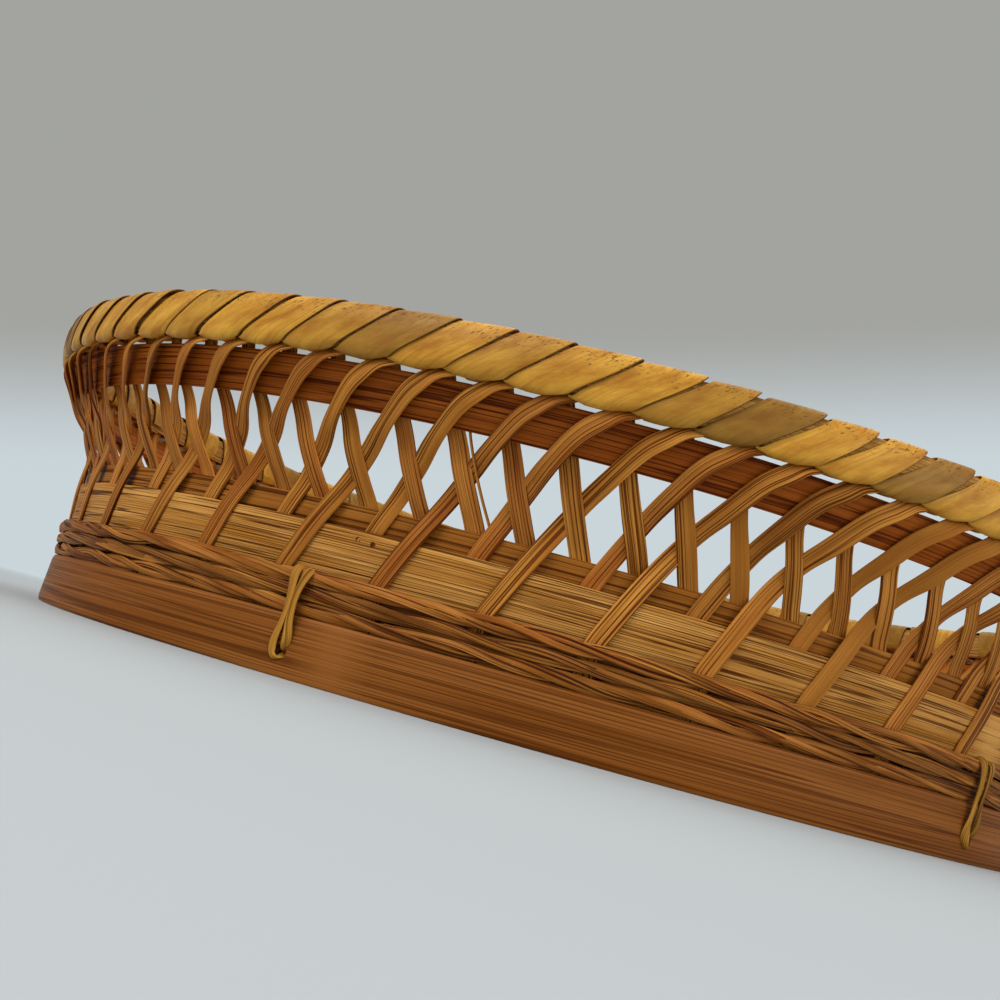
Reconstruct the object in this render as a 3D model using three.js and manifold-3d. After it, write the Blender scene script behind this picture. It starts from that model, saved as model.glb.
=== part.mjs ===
// A round woven tray: split bamboo strands crossing between hoops, on a foot band, under a bound rim.
// Sizes are in millimetres. +Z is up, the foot stands on Z = 0 and the origin is the middle of the foot.
import * as THREE from "three";
import Module from "manifold-3d";

const wasm = await Module();
wasm.setup();

// Gap left between two pieces that lie on each other.
const FIT = 0.3;

// Middle of the wall: radius at the top of the foot, spread of the foot, outward run per mm of height.
const FOOT_RADIUS = 129.4;
const FOOT_SPREAD = 0.4;
const LOWER_SLOPE = 0.11;
const UPPER_SLOPE = 0.55;
const BEND_LENGTH = 9;
const BEND_LEAD = 0.6;

// Heights of the pieces, from the ground up.
const FOOT_HEIGHT = 11.4;
const WALE_ROWS = 3;
const WALE_ROW_HEIGHT = 2.2;
const WIDE_HEIGHT = 8.4;
const NARROW_SHOWN = 4.3;
const NARROW_HIDDEN = 1.1;
const OPEN_HEIGHT = 15.9;
const UPPER_HEIGHT = 7.0;
const RIM_SLOT = 1.5;
const RIM_HEIGHT = 6.8;

// Thicknesses across the wall, and how far the rim's middle lies inside the upper band's top.
const BAND_THICK = 0.7;
const FOOT_THICK = 1.2;
const FOOT_INNER_THICK = 1.6;
const WALE_THICK = 1.5;
const RIM_HOOP_THICK = 1.3;
const RIM_HOOP_EDGE = 0.9;
const RIM_INSET = 0.3;

// Strands: how many outer strands lie between two ties, and the ribbon's section.
const TIE_COUNT = 6;
const OUTER_PER_TIE = 7;
const STRAND_WIDTH = 3.6;
const STRAND_THICK = 0.6;
const ROOT_BOTTOM = 1.0;
const ROOT_SLIT = 1.4;

// How far a strand leans round the tray, in strand pitches, over the lower bands, the open part and
// the upper band: forward ones rise to the right.
const FIRST_STRAND_DEG = -111.82;
const FORWARD_LOW = 0.5;
const FORWARD_OPEN = 1.11;
const FORWARD_UPPER = 0.595;
const MIDDLE_SHIFT = 0.22;
const BACKWARD_LOW = 0.6;
const BACKWARD_OPEN = 0.7;
const BACKWARD_UPPER = 0.21;

// Ties: flat cane loops round the wale, through a hole in the foot band.
const TIE_THICK = 1.1;
const TIE_WIDTH = 2.0;
const TIE_DROP = 7.8;
const TIE_PLACE = 0.45;
const TIE_CORNER = 0.9;

// Rim wrap: a peel that winds round the rim, once for every forward strand.
const WRAP_COUNT = 4;
const WRAP_THICK = 0.6;
const WRAP_TOP_WIDTH = 9.6;
const WRAP_LOW_WIDTH = 7.6;
const WRAP_TUCK_WIDTH = 4.2;
const WRAP_LEAN = 0.9;

// Floor: a plaited mat between the foot's inner hoop and a hoop that presses its edge, on two slats.
// Grooves part the mat's lengthwise strips, and its round edge starts a few degrees from its ends.
const MAT_THICK = 1.4;
const MAT_STRIPS = 24;
const MAT_GROOVE_WIDTH = 2.0;
const MAT_GROOVE_DEPTH = 0.45;
const MAT_END_DEGREES = [5, 13];
const BASE_HOOP_HEIGHT = 3.0;
const BASE_HOOP_THICK = 1.5;
const BRACE_WIDTH = 12;
const BRACE_THICK = 1.6;
const BRACE_SPACING = 90;

// Roundness of the hoops.
const BAND_SEGMENTS = 52;
const HOOP_SEGMENTS = 48;

// Height levels.
const ROOT_TOP = FOOT_HEIGHT + 2 * FIT;
const WALE_BOTTOM = FOOT_HEIGHT + FIT;
const WALE_STEP = WALE_ROW_HEIGHT + FIT;
const WALE_TOP = WALE_BOTTOM + WALE_ROWS * WALE_STEP - FIT;
const WIDE_BOTTOM = WALE_TOP + TIE_THICK + 2 * FIT;
const WIDE_TOP = WIDE_BOTTOM + WIDE_HEIGHT;
const NARROW_BOTTOM = WIDE_TOP - NARROW_HIDDEN;
const NARROW_TOP = WIDE_TOP + NARROW_SHOWN;
const UPPER_BOTTOM = NARROW_TOP + OPEN_HEIGHT;
const UPPER_TOP = UPPER_BOTTOM + UPPER_HEIGHT;
const BEND_START = NARROW_TOP - BEND_LEAD;
const BEND_END = BEND_START + BEND_LENGTH;
const BAND_EXIT = UPPER_TOP + FIT;
const WRAP_ROOM = 1.4 * FIT;
const WRAP_UNDER = UPPER_TOP + RIM_SLOT + WRAP_THICK / 2;
const RIM_BOTTOM = WRAP_UNDER + WRAP_THICK / 2 + WRAP_ROOM;
const RIM_TOP = RIM_BOTTOM + RIM_HEIGHT;
const WRAP_OVER = RIM_TOP + WRAP_ROOM + WRAP_THICK / 2;
const STRAND_END = RIM_TOP - 2 * FIT;

// Turns round the tray.
const STRAND_COUNT = 2 * TIE_COUNT * OUTER_PER_TIE;
const STRANDS_PER_TIE = 2 * OUTER_PER_TIE;
const PITCH = (2 * Math.PI) / STRAND_COUNT;
const FIRST_TURN = THREE.MathUtils.degToRad(FIRST_STRAND_DEG) / PITCH;

// Depths across the wall, outward from its middle; a root's flat cells bow inward a little.
const ROOT_BOW = FOOT_RADIUS * (1 - Math.cos(PITCH));
const LAYER = STRAND_THICK + FIT;
const BACKWARD_DEPTH = -(BAND_THICK / 2 + FIT + STRAND_THICK / 2);
const FORWARD_DEPTH = -BACKWARD_DEPTH;
const CROSS_DEPTH = LAYER / 2;
const OUTER_ROOT_DEPTH = FORWARD_DEPTH + LAYER + ROOT_BOW;
const BACK_ROOT_DEPTH = FORWARD_DEPTH - LAYER - ROOT_BOW;
const WIDE_DEPTH = FORWARD_DEPTH + STRAND_THICK / 2 + FIT + BAND_THICK / 2;
const OVER_DEPTH = WIDE_DEPTH + BAND_THICK / 2 + 1.5 * FIT + STRAND_THICK / 2;
const FOOT_DEPTH = OUTER_ROOT_DEPTH + STRAND_THICK / 2 + FIT;
const FOOT_INNER_DEPTH = BACK_ROOT_DEPTH - STRAND_THICK / 2 - 1.5 * FIT;

const tray = new THREE.Group();
tray.name = "tray";

// Adds one named piece with its own colour.
function add(name, geometry, colour) {
  const material = new THREE.MeshStandardMaterial({ color: colour, roughness: 0.6 });
  const mesh = new THREE.Mesh(geometry, material);
  mesh.name = name;
  tray.add(mesh);
  return mesh;
}

// How far z has come from low to high, from 0 to 1.
function share(z, low, high) {
  return THREE.MathUtils.clamp((z - low) / (high - low), 0, 1);
}

// Radius of the wall's middle at a height; past the upper band it stands upright in the rim.
function wallRadius(z) {
  if (z < ROOT_TOP) {
    return FOOT_RADIUS + FOOT_SPREAD * (1 - z / ROOT_TOP);
  }
  if (z > BAND_EXIT) {
    return wallRadius(UPPER_TOP) - RIM_INSET;
  }
  const straight = LOWER_SLOPE * (Math.min(z, BEND_END) - ROOT_TOP);
  const bend = BEND_LENGTH * share(z, BEND_START, BEND_END);
  const swing = ((UPPER_SLOPE - LOWER_SLOPE) * bend * bend) / (2 * BEND_LENGTH);
  const flare = UPPER_SLOPE * Math.max(z - BEND_END, 0);
  return FOOT_RADIUS + straight + swing + flare;
}

// Outward run of the wall per mm of height.
function wallSlope(z) {
  if (z < ROOT_TOP || z > BAND_EXIT) {
    return 0;
  }
  return LOWER_SLOPE + (UPPER_SLOPE - LOWER_SLOPE) * share(z, BEND_START, BEND_END);
}

// Radius and height of a point at a depth outside the wall's middle.
function wallPoint(z, depth) {
  const slope = wallSlope(z);
  const run = Math.hypot(1, slope);
  return [wallRadius(z) + depth / run, z - (depth * slope) / run];
}

// The same as a point in space, at a turn counted in strand pitches.
function spacePoint(turn, z, depth) {
  const [radius, height] = wallPoint(z, depth);
  const angle = (FIRST_TURN + turn) * PITCH;
  return new THREE.Vector3(radius * Math.cos(angle), radius * Math.sin(angle), height);
}

// The wall's outward direction at a turn and a height.
function outward(turn, z) {
  const slope = wallSlope(z);
  const angle = (FIRST_TURN + turn) * PITCH;
  return new THREE.Vector3(Math.cos(angle), Math.sin(angle), -slope).normalize();
}

// A hoop turned round the axis from a closed profile of radius and height, in anticlockwise order.
function hoop(profile, segments) {
  const even = 2 / (1 + Math.cos(Math.PI / segments));
  const closed = [...profile, profile[0]];
  const points = closed.map(([radius, height]) => new THREE.Vector2(radius * even, height));
  return new THREE.LatheGeometry(points, segments).rotateX(Math.PI / 2);
}

// A band of even thickness that follows the wall between two heights.
function band(bottom, top, inside, outside, segments) {
  const profile = [
    wallPoint(bottom, inside),
    wallPoint(bottom, outside),
    wallPoint(top, outside),
    wallPoint(top, inside),
  ];
  return hoop(profile, segments);
}

// A level hoop on the lower wall, with flat top and bottom edges.
function levelHoop(bottom, top, inside, outside, segments) {
  const profile = [
    [wallRadius(bottom) + inside, bottom],
    [wallRadius(bottom) + outside, bottom],
    [wallRadius(top) + outside, top],
    [wallRadius(top) + inside, top],
  ];
  return hoop(profile, segments);
}

// Triangles of a closed body, gathered face by face.
class Body {
  constructor() {
    this.numbers = [];
  }

  quad(a, b, c, d) {
    for (const point of [a, b, c, a, c, d]) {
      this.numbers.push(point.x, point.y, point.z);
    }
  }

  // The four long faces between two sections, whose corners run anticlockwise seen from ahead.
  join(from, to) {
    from.forEach((corner, side) => {
      const next = (side + 1) % from.length;
      this.quad(corner, from[next], to[next], to[side]);
    });
  }

  geometry() {
    const numbers = new THREE.Float32BufferAttribute(this.numbers, 3);
    return new THREE.BufferGeometry().setAttribute("position", numbers);
  }
}

// The level direction to the left at a turn, seen from outside.
function leftward(turn) {
  const angle = (FIRST_TURN + turn) * PITCH;
  return new THREE.Vector3(Math.sin(angle), -Math.cos(angle), 0);
}

// Sections of a flat ribbon along a path of turn, height and depth, from its second point on.
// A section is square to the ribbon, or level where the ribbon folds over an edge.
function ribbonSections(path) {
  const middles = path.map((step) => spacePoint(step.turn, step.z, step.depth));
  return path.slice(1).map((step, index) => {
    const here = index + 1;
    const ahead = middles[Math.min(here + 1, path.length - 1)];
    const along = ahead.clone().sub(middles[here - 1]).normalize();
    const lean = step.level ? along.dot(leftward(step.turn)) : 0;
    along.addScaledVector(leftward(step.turn), -lean).normalize();
    const face = outward(step.turn, step.z);
    face.addScaledVector(along, -face.dot(along)).normalize();
    const half = STRAND_WIDTH / 2 / Math.sqrt(1 - lean * lean);
    const side = face.clone().cross(along).multiplyScalar(half);
    face.multiplyScalar(STRAND_THICK / 2);
    return ribbonCorners(middles[here], side, face);
  });
}

// Corners of a ribbon's section: right outside, left outside, left inside, right inside.
function ribbonCorners(middle, side, face) {
  return [
    middle.clone().sub(side).add(face),
    middle.clone().add(side).add(face),
    middle.clone().add(side).sub(face),
    middle.clone().sub(side).sub(face),
  ];
}

// Corners of a root cell's section between two turns at one height.
function rootCorners(left, right, z, depth) {
  return [
    spacePoint(right, z, depth + STRAND_THICK / 2),
    spacePoint(left, z, depth + STRAND_THICK / 2),
    spacePoint(left, z, depth - STRAND_THICK / 2),
    spacePoint(right, z, depth - STRAND_THICK / 2),
  ];
}

// A splint that is whole at its root and split into tails above; each tail is one strand of the wall.
function splint(turns, left, right, rootDepth, tailPath) {
  const body = new Body();
  const cell = (right - left) / turns.length;
  turns.forEach((turn, index) => {
    const from = left + index * cell;
    const low = rootCorners(from, from + cell, ROOT_BOTTOM, rootDepth);
    const high = rootCorners(from, from + cell, ROOT_TOP, rootDepth);
    body.quad(low[0], low[1], low[2], low[3]);
    body.quad(low[1], low[0], high[0], high[1]);
    body.quad(low[3], low[2], high[2], high[3]);
    if (index === 0) {
      body.quad(low[2], low[1], high[1], high[2]);
    }
    if (index === turns.length - 1) {
      body.quad(low[0], low[3], high[3], high[0]);
    }
    const sections = [high, ...ribbonSections(tailPath(index))];
    sections.slice(1).forEach((section, step) => {
      body.join([...sections[step]].reverse(), [...section].reverse());
    });
    const end = sections[sections.length - 1];
    body.quad(end[3], end[2], end[1], end[0]);
  });
  return body.geometry();
}

// Turn of a forward strand at a height, counted from its own root.
function forwardTurn(z, shift) {
  const low = FORWARD_LOW * share(z, WALE_TOP, NARROW_TOP);
  const open = share(z, NARROW_TOP, UPPER_BOTTOM);
  const high = (FORWARD_UPPER * Math.max(z - UPPER_BOTTOM, 0)) / UPPER_HEIGHT;
  return low + FORWARD_OPEN * open + high + shift * (1 - open);
}

// Turn of a backward strand at a height, counted from the forward strand it meets at the upper band.
function backwardTurn(z) {
  const low = BACKWARD_LOW * (1 - share(z, WALE_TOP, NARROW_TOP));
  const open = BACKWARD_OPEN * (1 - share(z, NARROW_TOP, UPPER_BOTTOM));
  const high = (BACKWARD_UPPER * Math.max(z - UPPER_BOTTOM, 0)) / UPPER_HEIGHT;
  return FORWARD_LOW + FORWARD_OPEN + open + low - high;
}

// Height at which a forward strand and the backward strand beside it cross in the open part.
function crossingHeight(shift) {
  return UPPER_BOTTOM - OPEN_HEIGHT / (FORWARD_OPEN + BACKWARD_OPEN - shift);
}

// Half the height over which two crossing strands lie on each other.
function crossingHalf(z, shift) {
  const run = Math.hypot(1, wallSlope(z));
  const perMillimetre = (PITCH * wallRadius(z)) / (OPEN_HEIGHT * run);
  const forward = Math.atan((FORWARD_OPEN - shift) * perMillimetre);
  const backward = Math.atan(BACKWARD_OPEN * perMillimetre);
  const length = STRAND_WIDTH / 2 / Math.tan((forward + backward) / 2) + FIT;
  return (length * Math.cos((forward + backward) / 2)) / run;
}

// Inward bow of a straight piece of strand between two turns.
function bow(turns) {
  return wallRadius(UPPER_TOP) * (1 - Math.cos((turns * PITCH) / 2));
}

// Heights where strands change sides between the narrow band and the upper band.
function changeHeights(shift) {
  const middle = crossingHeight(shift);
  const half = crossingHalf(middle, shift);
  const narrowEnd = Math.min(NARROW_TOP + FORWARD_DEPTH, middle - half - FIT);
  const upperHalf = crossingHalf(UPPER_BOTTOM, 0);
  const upperStart = Math.max(UPPER_BOTTOM - upperHalf, middle + half + FIT);
  return { narrowEnd, crossStart: middle - half, crossEnd: middle + half, upperStart };
}

// Upper part of a strand's path, from the crossing past the upper band and upright into the rim.
function upperPath(turn, shift, turnAt, sideDepth, crossDepth) {
  const change = changeHeights(shift);
  const ease = bow(turnAt(BAND_EXIT) - turnAt(change.upperStart)) / 2;
  return [
    { z: change.crossStart, depth: crossDepth },
    { z: change.crossEnd, depth: crossDepth },
    { z: change.upperStart, depth: sideDepth + ease },
    { z: BAND_EXIT, depth: sideDepth + ease, level: true },
    { z: STRAND_END, depth: -crossDepth, level: true },
  ].map((step) => ({ ...step, turn: turn + turnAt(step.z) }));
}

// Path of a forward strand; the outer ones also climb out over the wide band.
function forwardPath(turn, shift, rootDepth, overWide) {
  const turnAt = (z) => forwardTurn(z, shift);
  const lower = [
    { z: ROOT_TOP, depth: rootDepth },
    { z: WALE_TOP + FIT, depth: rootDepth, level: true },
  ];
  if (overWide) {
    lower.push({ z: WIDE_BOTTOM - FIT, depth: OVER_DEPTH, level: true });
    lower.push({ z: WIDE_TOP + FIT, depth: OVER_DEPTH, level: true });
  } else {
    lower.push({ z: changeHeights(shift).narrowEnd, depth: FORWARD_DEPTH });
  }
  const placed = lower.map((step) => ({ ...step, turn: turn + turnAt(step.z) }));
  return [...placed, ...upperPath(turn, shift, turnAt, FORWARD_DEPTH, -CROSS_DEPTH)];
}

// Path of a backward strand, which runs inside the bands and comes forward at the crossing.
function backwardPath(turn, shift) {
  const lower = [
    { z: ROOT_TOP, depth: BACK_ROOT_DEPTH },
    { z: WALE_TOP, depth: BACKWARD_DEPTH },
    { z: changeHeights(shift).narrowEnd, depth: BACKWARD_DEPTH },
  ];
  const placed = lower.map((step) => ({ ...step, turn: turn + backwardTurn(step.z) }));
  return [...placed, ...upperPath(turn, shift, backwardTurn, BACKWARD_DEPTH, CROSS_DEPTH)];
}

// Wall strands, one sector of the wall after another.
const SLIT = ROOT_SLIT / (FOOT_RADIUS * PITCH);
const BACK_START = Math.ceil(TIE_PLACE - backwardTurn(ROOT_TOP));
for (let sector = 0; sector < TIE_COUNT; sector += 1) {
  const start = sector * STRANDS_PER_TIE;
  const left = start + TIE_PLACE + SLIT;
  const right = start + STRANDS_PER_TIE + TIE_PLACE - SLIT;
  const places = Array.from({ length: OUTER_PER_TIE }, (unused, index) => index);
  const label = sector + 1;

  const outer = places.map((place) => start + 2 * (place + 1));
  const outerPath = (index) => forwardPath(outer[index], 0, OUTER_ROOT_DEPTH, true);
  add(`outer_splint_${label}`, splint(outer, left, right, OUTER_ROOT_DEPTH, outerPath), "#a8743c");

  const middle = places.map((place) => start + 2 * place + 1);
  const middleRoots = middle.map((turn) => turn + MIDDLE_SHIFT);
  const middlePath = (index) => forwardPath(middle[index], MIDDLE_SHIFT, FORWARD_DEPTH, false);
  add(`middle_splint_${label}`, splint(middleRoots, left, right, FORWARD_DEPTH, middlePath), "#9a6a38");

  for (let half = 0; half < 2; half += 1) {
    const first = start + BACK_START + half * OUTER_PER_TIE;
    const inner = places.map((place) => first + place);
    const roots = inner.map((turn) => turn + backwardTurn(ROOT_TOP));
    const seam = roots[0] - 1 / 2 + (half === 0 ? OUTER_PER_TIE : 0);
    const from = half === 0 ? left : seam + SLIT / 4;
    const to = half === 0 ? seam - SLIT / 4 : right;
    const innerPath = (index) => {
      const meetsOuter = (inner[index] + 1) % 2 === 0;
      return backwardPath(inner[index], meetsOuter ? 0 : MIDDLE_SHIFT);
    };
    const name = `inner_splint_${2 * sector + half + 1}`;
    add(name, splint(roots, from, to, BACK_ROOT_DEPTH, innerPath), "#94632f");
  }
}

// A hole through the foot at each tie.
function tieBox(depthFrom, depthTo, zFrom, zTo, width, place) {
  const radiusFrom = FOOT_RADIUS + depthFrom;
  const radiusTo = FOOT_RADIUS + depthTo;
  const box = new THREE.BoxGeometry(radiusTo - radiusFrom, width, zTo - zFrom);
  box.translate((radiusFrom + radiusTo) / 2, 0, (zFrom + zTo) / 2);
  box.rotateZ((FIRST_TURN + place) * PITCH);
  return box;
}

// A geometry as a solid for cutting.
function solid(geometry) {
  const source = geometry.index ? geometry.toNonIndexed() : geometry;
  const numbers = source.getAttribute("position").array;
  const indices = Uint32Array.from({ length: numbers.length / 3 }, (unused, index) => index);
  const mesh = new wasm.Mesh({ numProp: 3, vertProperties: new Float32Array(numbers), triVerts: indices });
  mesh.merge();
  return new wasm.Manifold(mesh);
}

// A solid as a geometry again.
function shape(body) {
  const mesh = body.getMesh();
  const numbers = new THREE.Float32BufferAttribute(mesh.vertProperties, 3);
  const geometry = new THREE.BufferGeometry().setAttribute("position", numbers);
  return geometry.setIndex(new THREE.Uint32BufferAttribute(mesh.triVerts, 1)).toNonIndexed();
}

const TIE_LOW = FOOT_HEIGHT - TIE_DROP;
const TIE_HALF = TIE_THICK / 2;
const HOLE_LOW = TIE_LOW - TIE_HALF - FIT;
const HOLE_HIGH = TIE_LOW + TIE_HALF + FIT;
const FOOT_OUTSIDE = FOOT_DEPTH + FOOT_THICK;
const WALE_OUTSIDE = FOOT_DEPTH + WALE_THICK;
const tiePlaces = Array.from({ length: TIE_COUNT }, (unused, index) => index * STRANDS_PER_TIE + TIE_PLACE);

// Foot: a wide outer band with the tie holes, and a hoop inside the roots.
let foot = solid(levelHoop(0, FOOT_HEIGHT, FOOT_DEPTH, FOOT_OUTSIDE, HOOP_SEGMENTS));
for (const place of tiePlaces) {
  const inside = FOOT_DEPTH - FOOT_THICK;
  const outside = FOOT_OUTSIDE + FOOT_SPREAD + FOOT_THICK;
  const hole = tieBox(inside, outside, HOLE_LOW, HOLE_HIGH, TIE_WIDTH + 2 * FIT, place);
  foot = foot.subtract(solid(hole));
}
add("foot_band", shape(foot), "#7a4a28");
const innerFoot = FOOT_INNER_DEPTH - FOOT_INNER_THICK;
const innerHoop = levelHoop(FIT, ROOT_TOP, innerFoot, FOOT_INNER_DEPTH, HOOP_SEGMENTS);
add("foot_inner_hoop", innerHoop, "#8a5c36");

// Wale: rows of splints laid round the outside of the strands.
for (let row = 0; row < WALE_ROWS; row += 1) {
  const bottom = WALE_BOTTOM + row * WALE_STEP;
  const top = bottom + WALE_ROW_HEIGHT;
  const splints = levelHoop(bottom, top, FOOT_DEPTH, WALE_OUTSIDE, HOOP_SEGMENTS);
  add(`wale_row_${row + 1}`, splints, "#7d5230");
}

// Ties: each goes down outside the wale, in through the foot band and up again behind it.
function tieLoop(place) {
  const room = 2 * FIT + TIE_HALF;
  const footAtHole = FOOT_OUTSIDE + FOOT_SPREAD * (1 - HOLE_LOW / ROOT_TOP);
  const inside = FOOT_DEPTH - room;
  const outside = Math.max(WALE_OUTSIDE, footAtHole) + room;
  const high = WALE_TOP + FIT + TIE_HALF;
  const cut = TIE_CORNER;
  const path = [
    [outside, TIE_LOW + cut],
    [outside, high - cut],
    [outside - cut, high],
    [inside + cut, high],
    [inside, high - cut],
    [inside, TIE_LOW + cut],
    [inside + cut, TIE_LOW],
    [outside - cut, TIE_LOW],
  ];
  const angle = (FIRST_TURN + place) * PITCH;
  const across = new THREE.Vector3(-Math.sin(angle), Math.cos(angle), 0).multiplyScalar(TIE_WIDTH / 2);
  const at = ([depth, z]) => {
    const radius = wallRadius(Math.max(z, ROOT_TOP)) + depth;
    return new THREE.Vector3(radius * Math.cos(angle), radius * Math.sin(angle), z);
  };
  const sections = path.map((step, index) => {
    const before = at(path[(index + path.length - 1) % path.length]);
    const after = at(path[(index + 1) % path.length]);
    const along = after.sub(before).normalize();
    const face = along.clone().cross(across).normalize().multiplyScalar(TIE_HALF);
    const middle = at(step);
    return [
      middle.clone().add(across).add(face),
      middle.clone().sub(across).add(face),
      middle.clone().sub(across).sub(face),
      middle.clone().add(across).sub(face),
    ];
  });
  const body = new Body();
  sections.forEach((section, index) => {
    body.join(section, sections[(index + 1) % sections.length]);
  });
  return body.geometry();
}
tiePlaces.forEach((place, index) => {
  add(`tie_${index + 1}`, tieLoop(place), "#c09038");
});

// Bands of the wall.
const wideInside = WIDE_DEPTH - BAND_THICK / 2;
const wideOutside = WIDE_DEPTH + BAND_THICK / 2;
add("wide_band", band(WIDE_BOTTOM, WIDE_TOP, wideInside, wideOutside, BAND_SEGMENTS), "#b98a4e");
const thin = BAND_THICK / 2;
add("narrow_band", band(NARROW_BOTTOM, NARROW_TOP, -thin, thin, BAND_SEGMENTS), "#8a5c36");
add("upper_band", band(UPPER_BOTTOM, UPPER_TOP, -thin, thin, BAND_SEGMENTS), "#6b3a18");

// Depth from the rim's middle at which a strand enters the rim.
const RIM_RADIUS = wallRadius(STRAND_END);
function rimEntry(sideDepth, endDepth) {
  const [radius, height] = wallPoint(BAND_EXIT, sideDepth);
  return THREE.MathUtils.mapLinear(RIM_BOTTOM, height, STRAND_END, radius - RIM_RADIUS, endDepth);
}

// Rim: an outer and an inner hoop, with the strands' ends between them.
const strandRoom = STRAND_THICK / 2 + 1.5 * FIT;
const outerRim = Math.max(rimEntry(FORWARD_DEPTH, CROSS_DEPTH), CROSS_DEPTH) + strandRoom;
const innerRim = Math.max(-rimEntry(BACKWARD_DEPTH, -CROSS_DEPTH), CROSS_DEPTH) + strandRoom;
const outerProfile = [
  [RIM_RADIUS + outerRim, RIM_BOTTOM],
  [RIM_RADIUS + outerRim + RIM_HOOP_THICK, RIM_BOTTOM],
  [RIM_RADIUS + outerRim + RIM_HOOP_EDGE, RIM_TOP],
  [RIM_RADIUS + outerRim, RIM_TOP],
];
add("rim_outer_hoop", hoop(outerProfile, HOOP_SEGMENTS), "#7c6a4a");
const innerProfile = [
  [RIM_RADIUS - innerRim - RIM_HOOP_THICK, RIM_BOTTOM],
  [RIM_RADIUS - innerRim, RIM_BOTTOM],
  [RIM_RADIUS - innerRim, RIM_TOP],
  [RIM_RADIUS - innerRim - RIM_HOOP_EDGE, RIM_TOP],
];
add("rim_inner_hoop", hoop(innerProfile, HOOP_SEGMENTS), "#7c6a4a");

// Rim wrap: stations of one winding, as depth, height, turn in pitches, width and outside direction.
const wrapGap = WRAP_ROOM + WRAP_THICK / 2;
const wrapBottom = RIM_HOOP_THICK + wrapGap;
const wrapTop = RIM_HOOP_EDGE + wrapGap;
const wrapSide = outerRim + RIM_HOOP_THICK / 2;
const backWidth = (WRAP_TOP_WIDTH + WRAP_TUCK_WIDTH) / 2;
const backTurn = (1 + WRAP_LEAN) / 2;
const winding = [
  { depth: -innerRim - wrapBottom, z: WRAP_UNDER, turn: 0, width: WRAP_TUCK_WIDTH, out: [-1, -1] },
  { depth: wrapSide, z: WRAP_UNDER, turn: 0, width: WRAP_TUCK_WIDTH, out: [0, -1] },
  { depth: outerRim + wrapBottom, z: WRAP_UNDER + FIT, turn: 0, width: WRAP_LOW_WIDTH, out: [1, -1] },
  { depth: outerRim + wrapTop, z: WRAP_OVER, turn: WRAP_LEAN, width: WRAP_TOP_WIDTH, out: [1, 1] },
  { depth: -innerRim - wrapTop, z: WRAP_OVER, turn: backTurn, width: backWidth, out: [-1, 1] },
];

// A point of the wrap: a station moved across the peel's width and through its thickness.
function wrapPoint(station, place, across, through) {
  const radius = RIM_RADIUS + station.depth + through * station.out[0];
  const angle = (FIRST_TURN + place + station.turn) * PITCH + across / RIM_RADIUS;
  const height = station.z + through * station.out[1];
  return new THREE.Vector3(radius * Math.cos(angle), radius * Math.sin(angle), height);
}

function wrapSection(station, place) {
  const half = station.width / 2;
  const thick = WRAP_THICK / 2;
  return [
    wrapPoint(station, place, -half, thick),
    wrapPoint(station, place, half, thick),
    wrapPoint(station, place, half, -thick),
    wrapPoint(station, place, -half, -thick),
  ];
}

// Least distance between points of neighbouring windings.
function leastGap(sections) {
  let least = Infinity;
  sections.forEach((section, index) => {
    sections.slice(index + winding.length - 1, index + winding.length + 2).forEach((other) => {
      for (const a of section) {
        for (const b of other) {
          least = Math.min(least, a.distanceTo(b));
        }
      }
    });
  });
  return least;
}

// Turn of a strand where it passes the wrap's underside; the wrap goes midway between two strands.
function turnUnder(turnAt, sideDepth) {
  const height = wallPoint(BAND_EXIT, sideDepth)[1];
  const rise = share(WRAP_UNDER, height, STRAND_END);
  return THREE.MathUtils.lerp(turnAt(BAND_EXIT), turnAt(STRAND_END), rise);
}
const forwardUnder = turnUnder((z) => forwardTurn(z, 0), FORWARD_DEPTH);
const backwardUnder = turnUnder(backwardTurn, BACKWARD_DEPTH);
const apart = forwardUnder - backwardUnder - Math.round(forwardUnder - backwardUnder);
const WRAP_START = forwardUnder - apart / 2 + 1 / 2;
const TURNS_PER_WRAP = STRAND_COUNT / WRAP_COUNT;
for (let wrap = 0; wrap < WRAP_COUNT; wrap += 1) {
  const sections = [];
  for (let turn = 0; turn < TURNS_PER_WRAP; turn += 1) {
    const place = WRAP_START + wrap * TURNS_PER_WRAP + turn;
    winding.forEach((station) => sections.push(wrapSection(station, place)));
  }
  const body = new Body();
  const first = sections[0];
  const last = sections[sections.length - 1];
  body.quad(first[3], first[2], first[1], first[0]);
  sections.slice(1).forEach((section, index) => {
    body.join(sections[index], section);
  });
  body.quad(last[0], last[1], last[2], last[3]);
  const name = `rim_wrap_${wrap + 1}`;
  add(name, body.geometry(), "#cc9a44");
  console.log(`${name}: least gap between windings ${leastGap(sections).toFixed(2)} mm`);
}

// Floor: the mat on the foot's inner hoop, the hoop on its edge, and two slats under it.
const MAT_BOTTOM = ROOT_TOP + FIT;
const MAT_TOP = MAT_BOTTOM + MAT_THICK;
const pressOutside = BACKWARD_DEPTH - STRAND_THICK / 2 - FIT;
const matRadius = FOOT_RADIUS + pressOutside;

// A section of the mat along its strips, sunk into both faces at a groove.
function matSection(x, sunk) {
  const reach = Math.sqrt(matRadius * matRadius - x * x);
  return [
    new THREE.Vector3(x, -reach, MAT_BOTTOM + sunk),
    new THREE.Vector3(x, reach, MAT_BOTTOM + sunk),
    new THREE.Vector3(x, reach, MAT_TOP - sunk),
    new THREE.Vector3(x, -reach, MAT_TOP - sunk),
  ];
}

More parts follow.
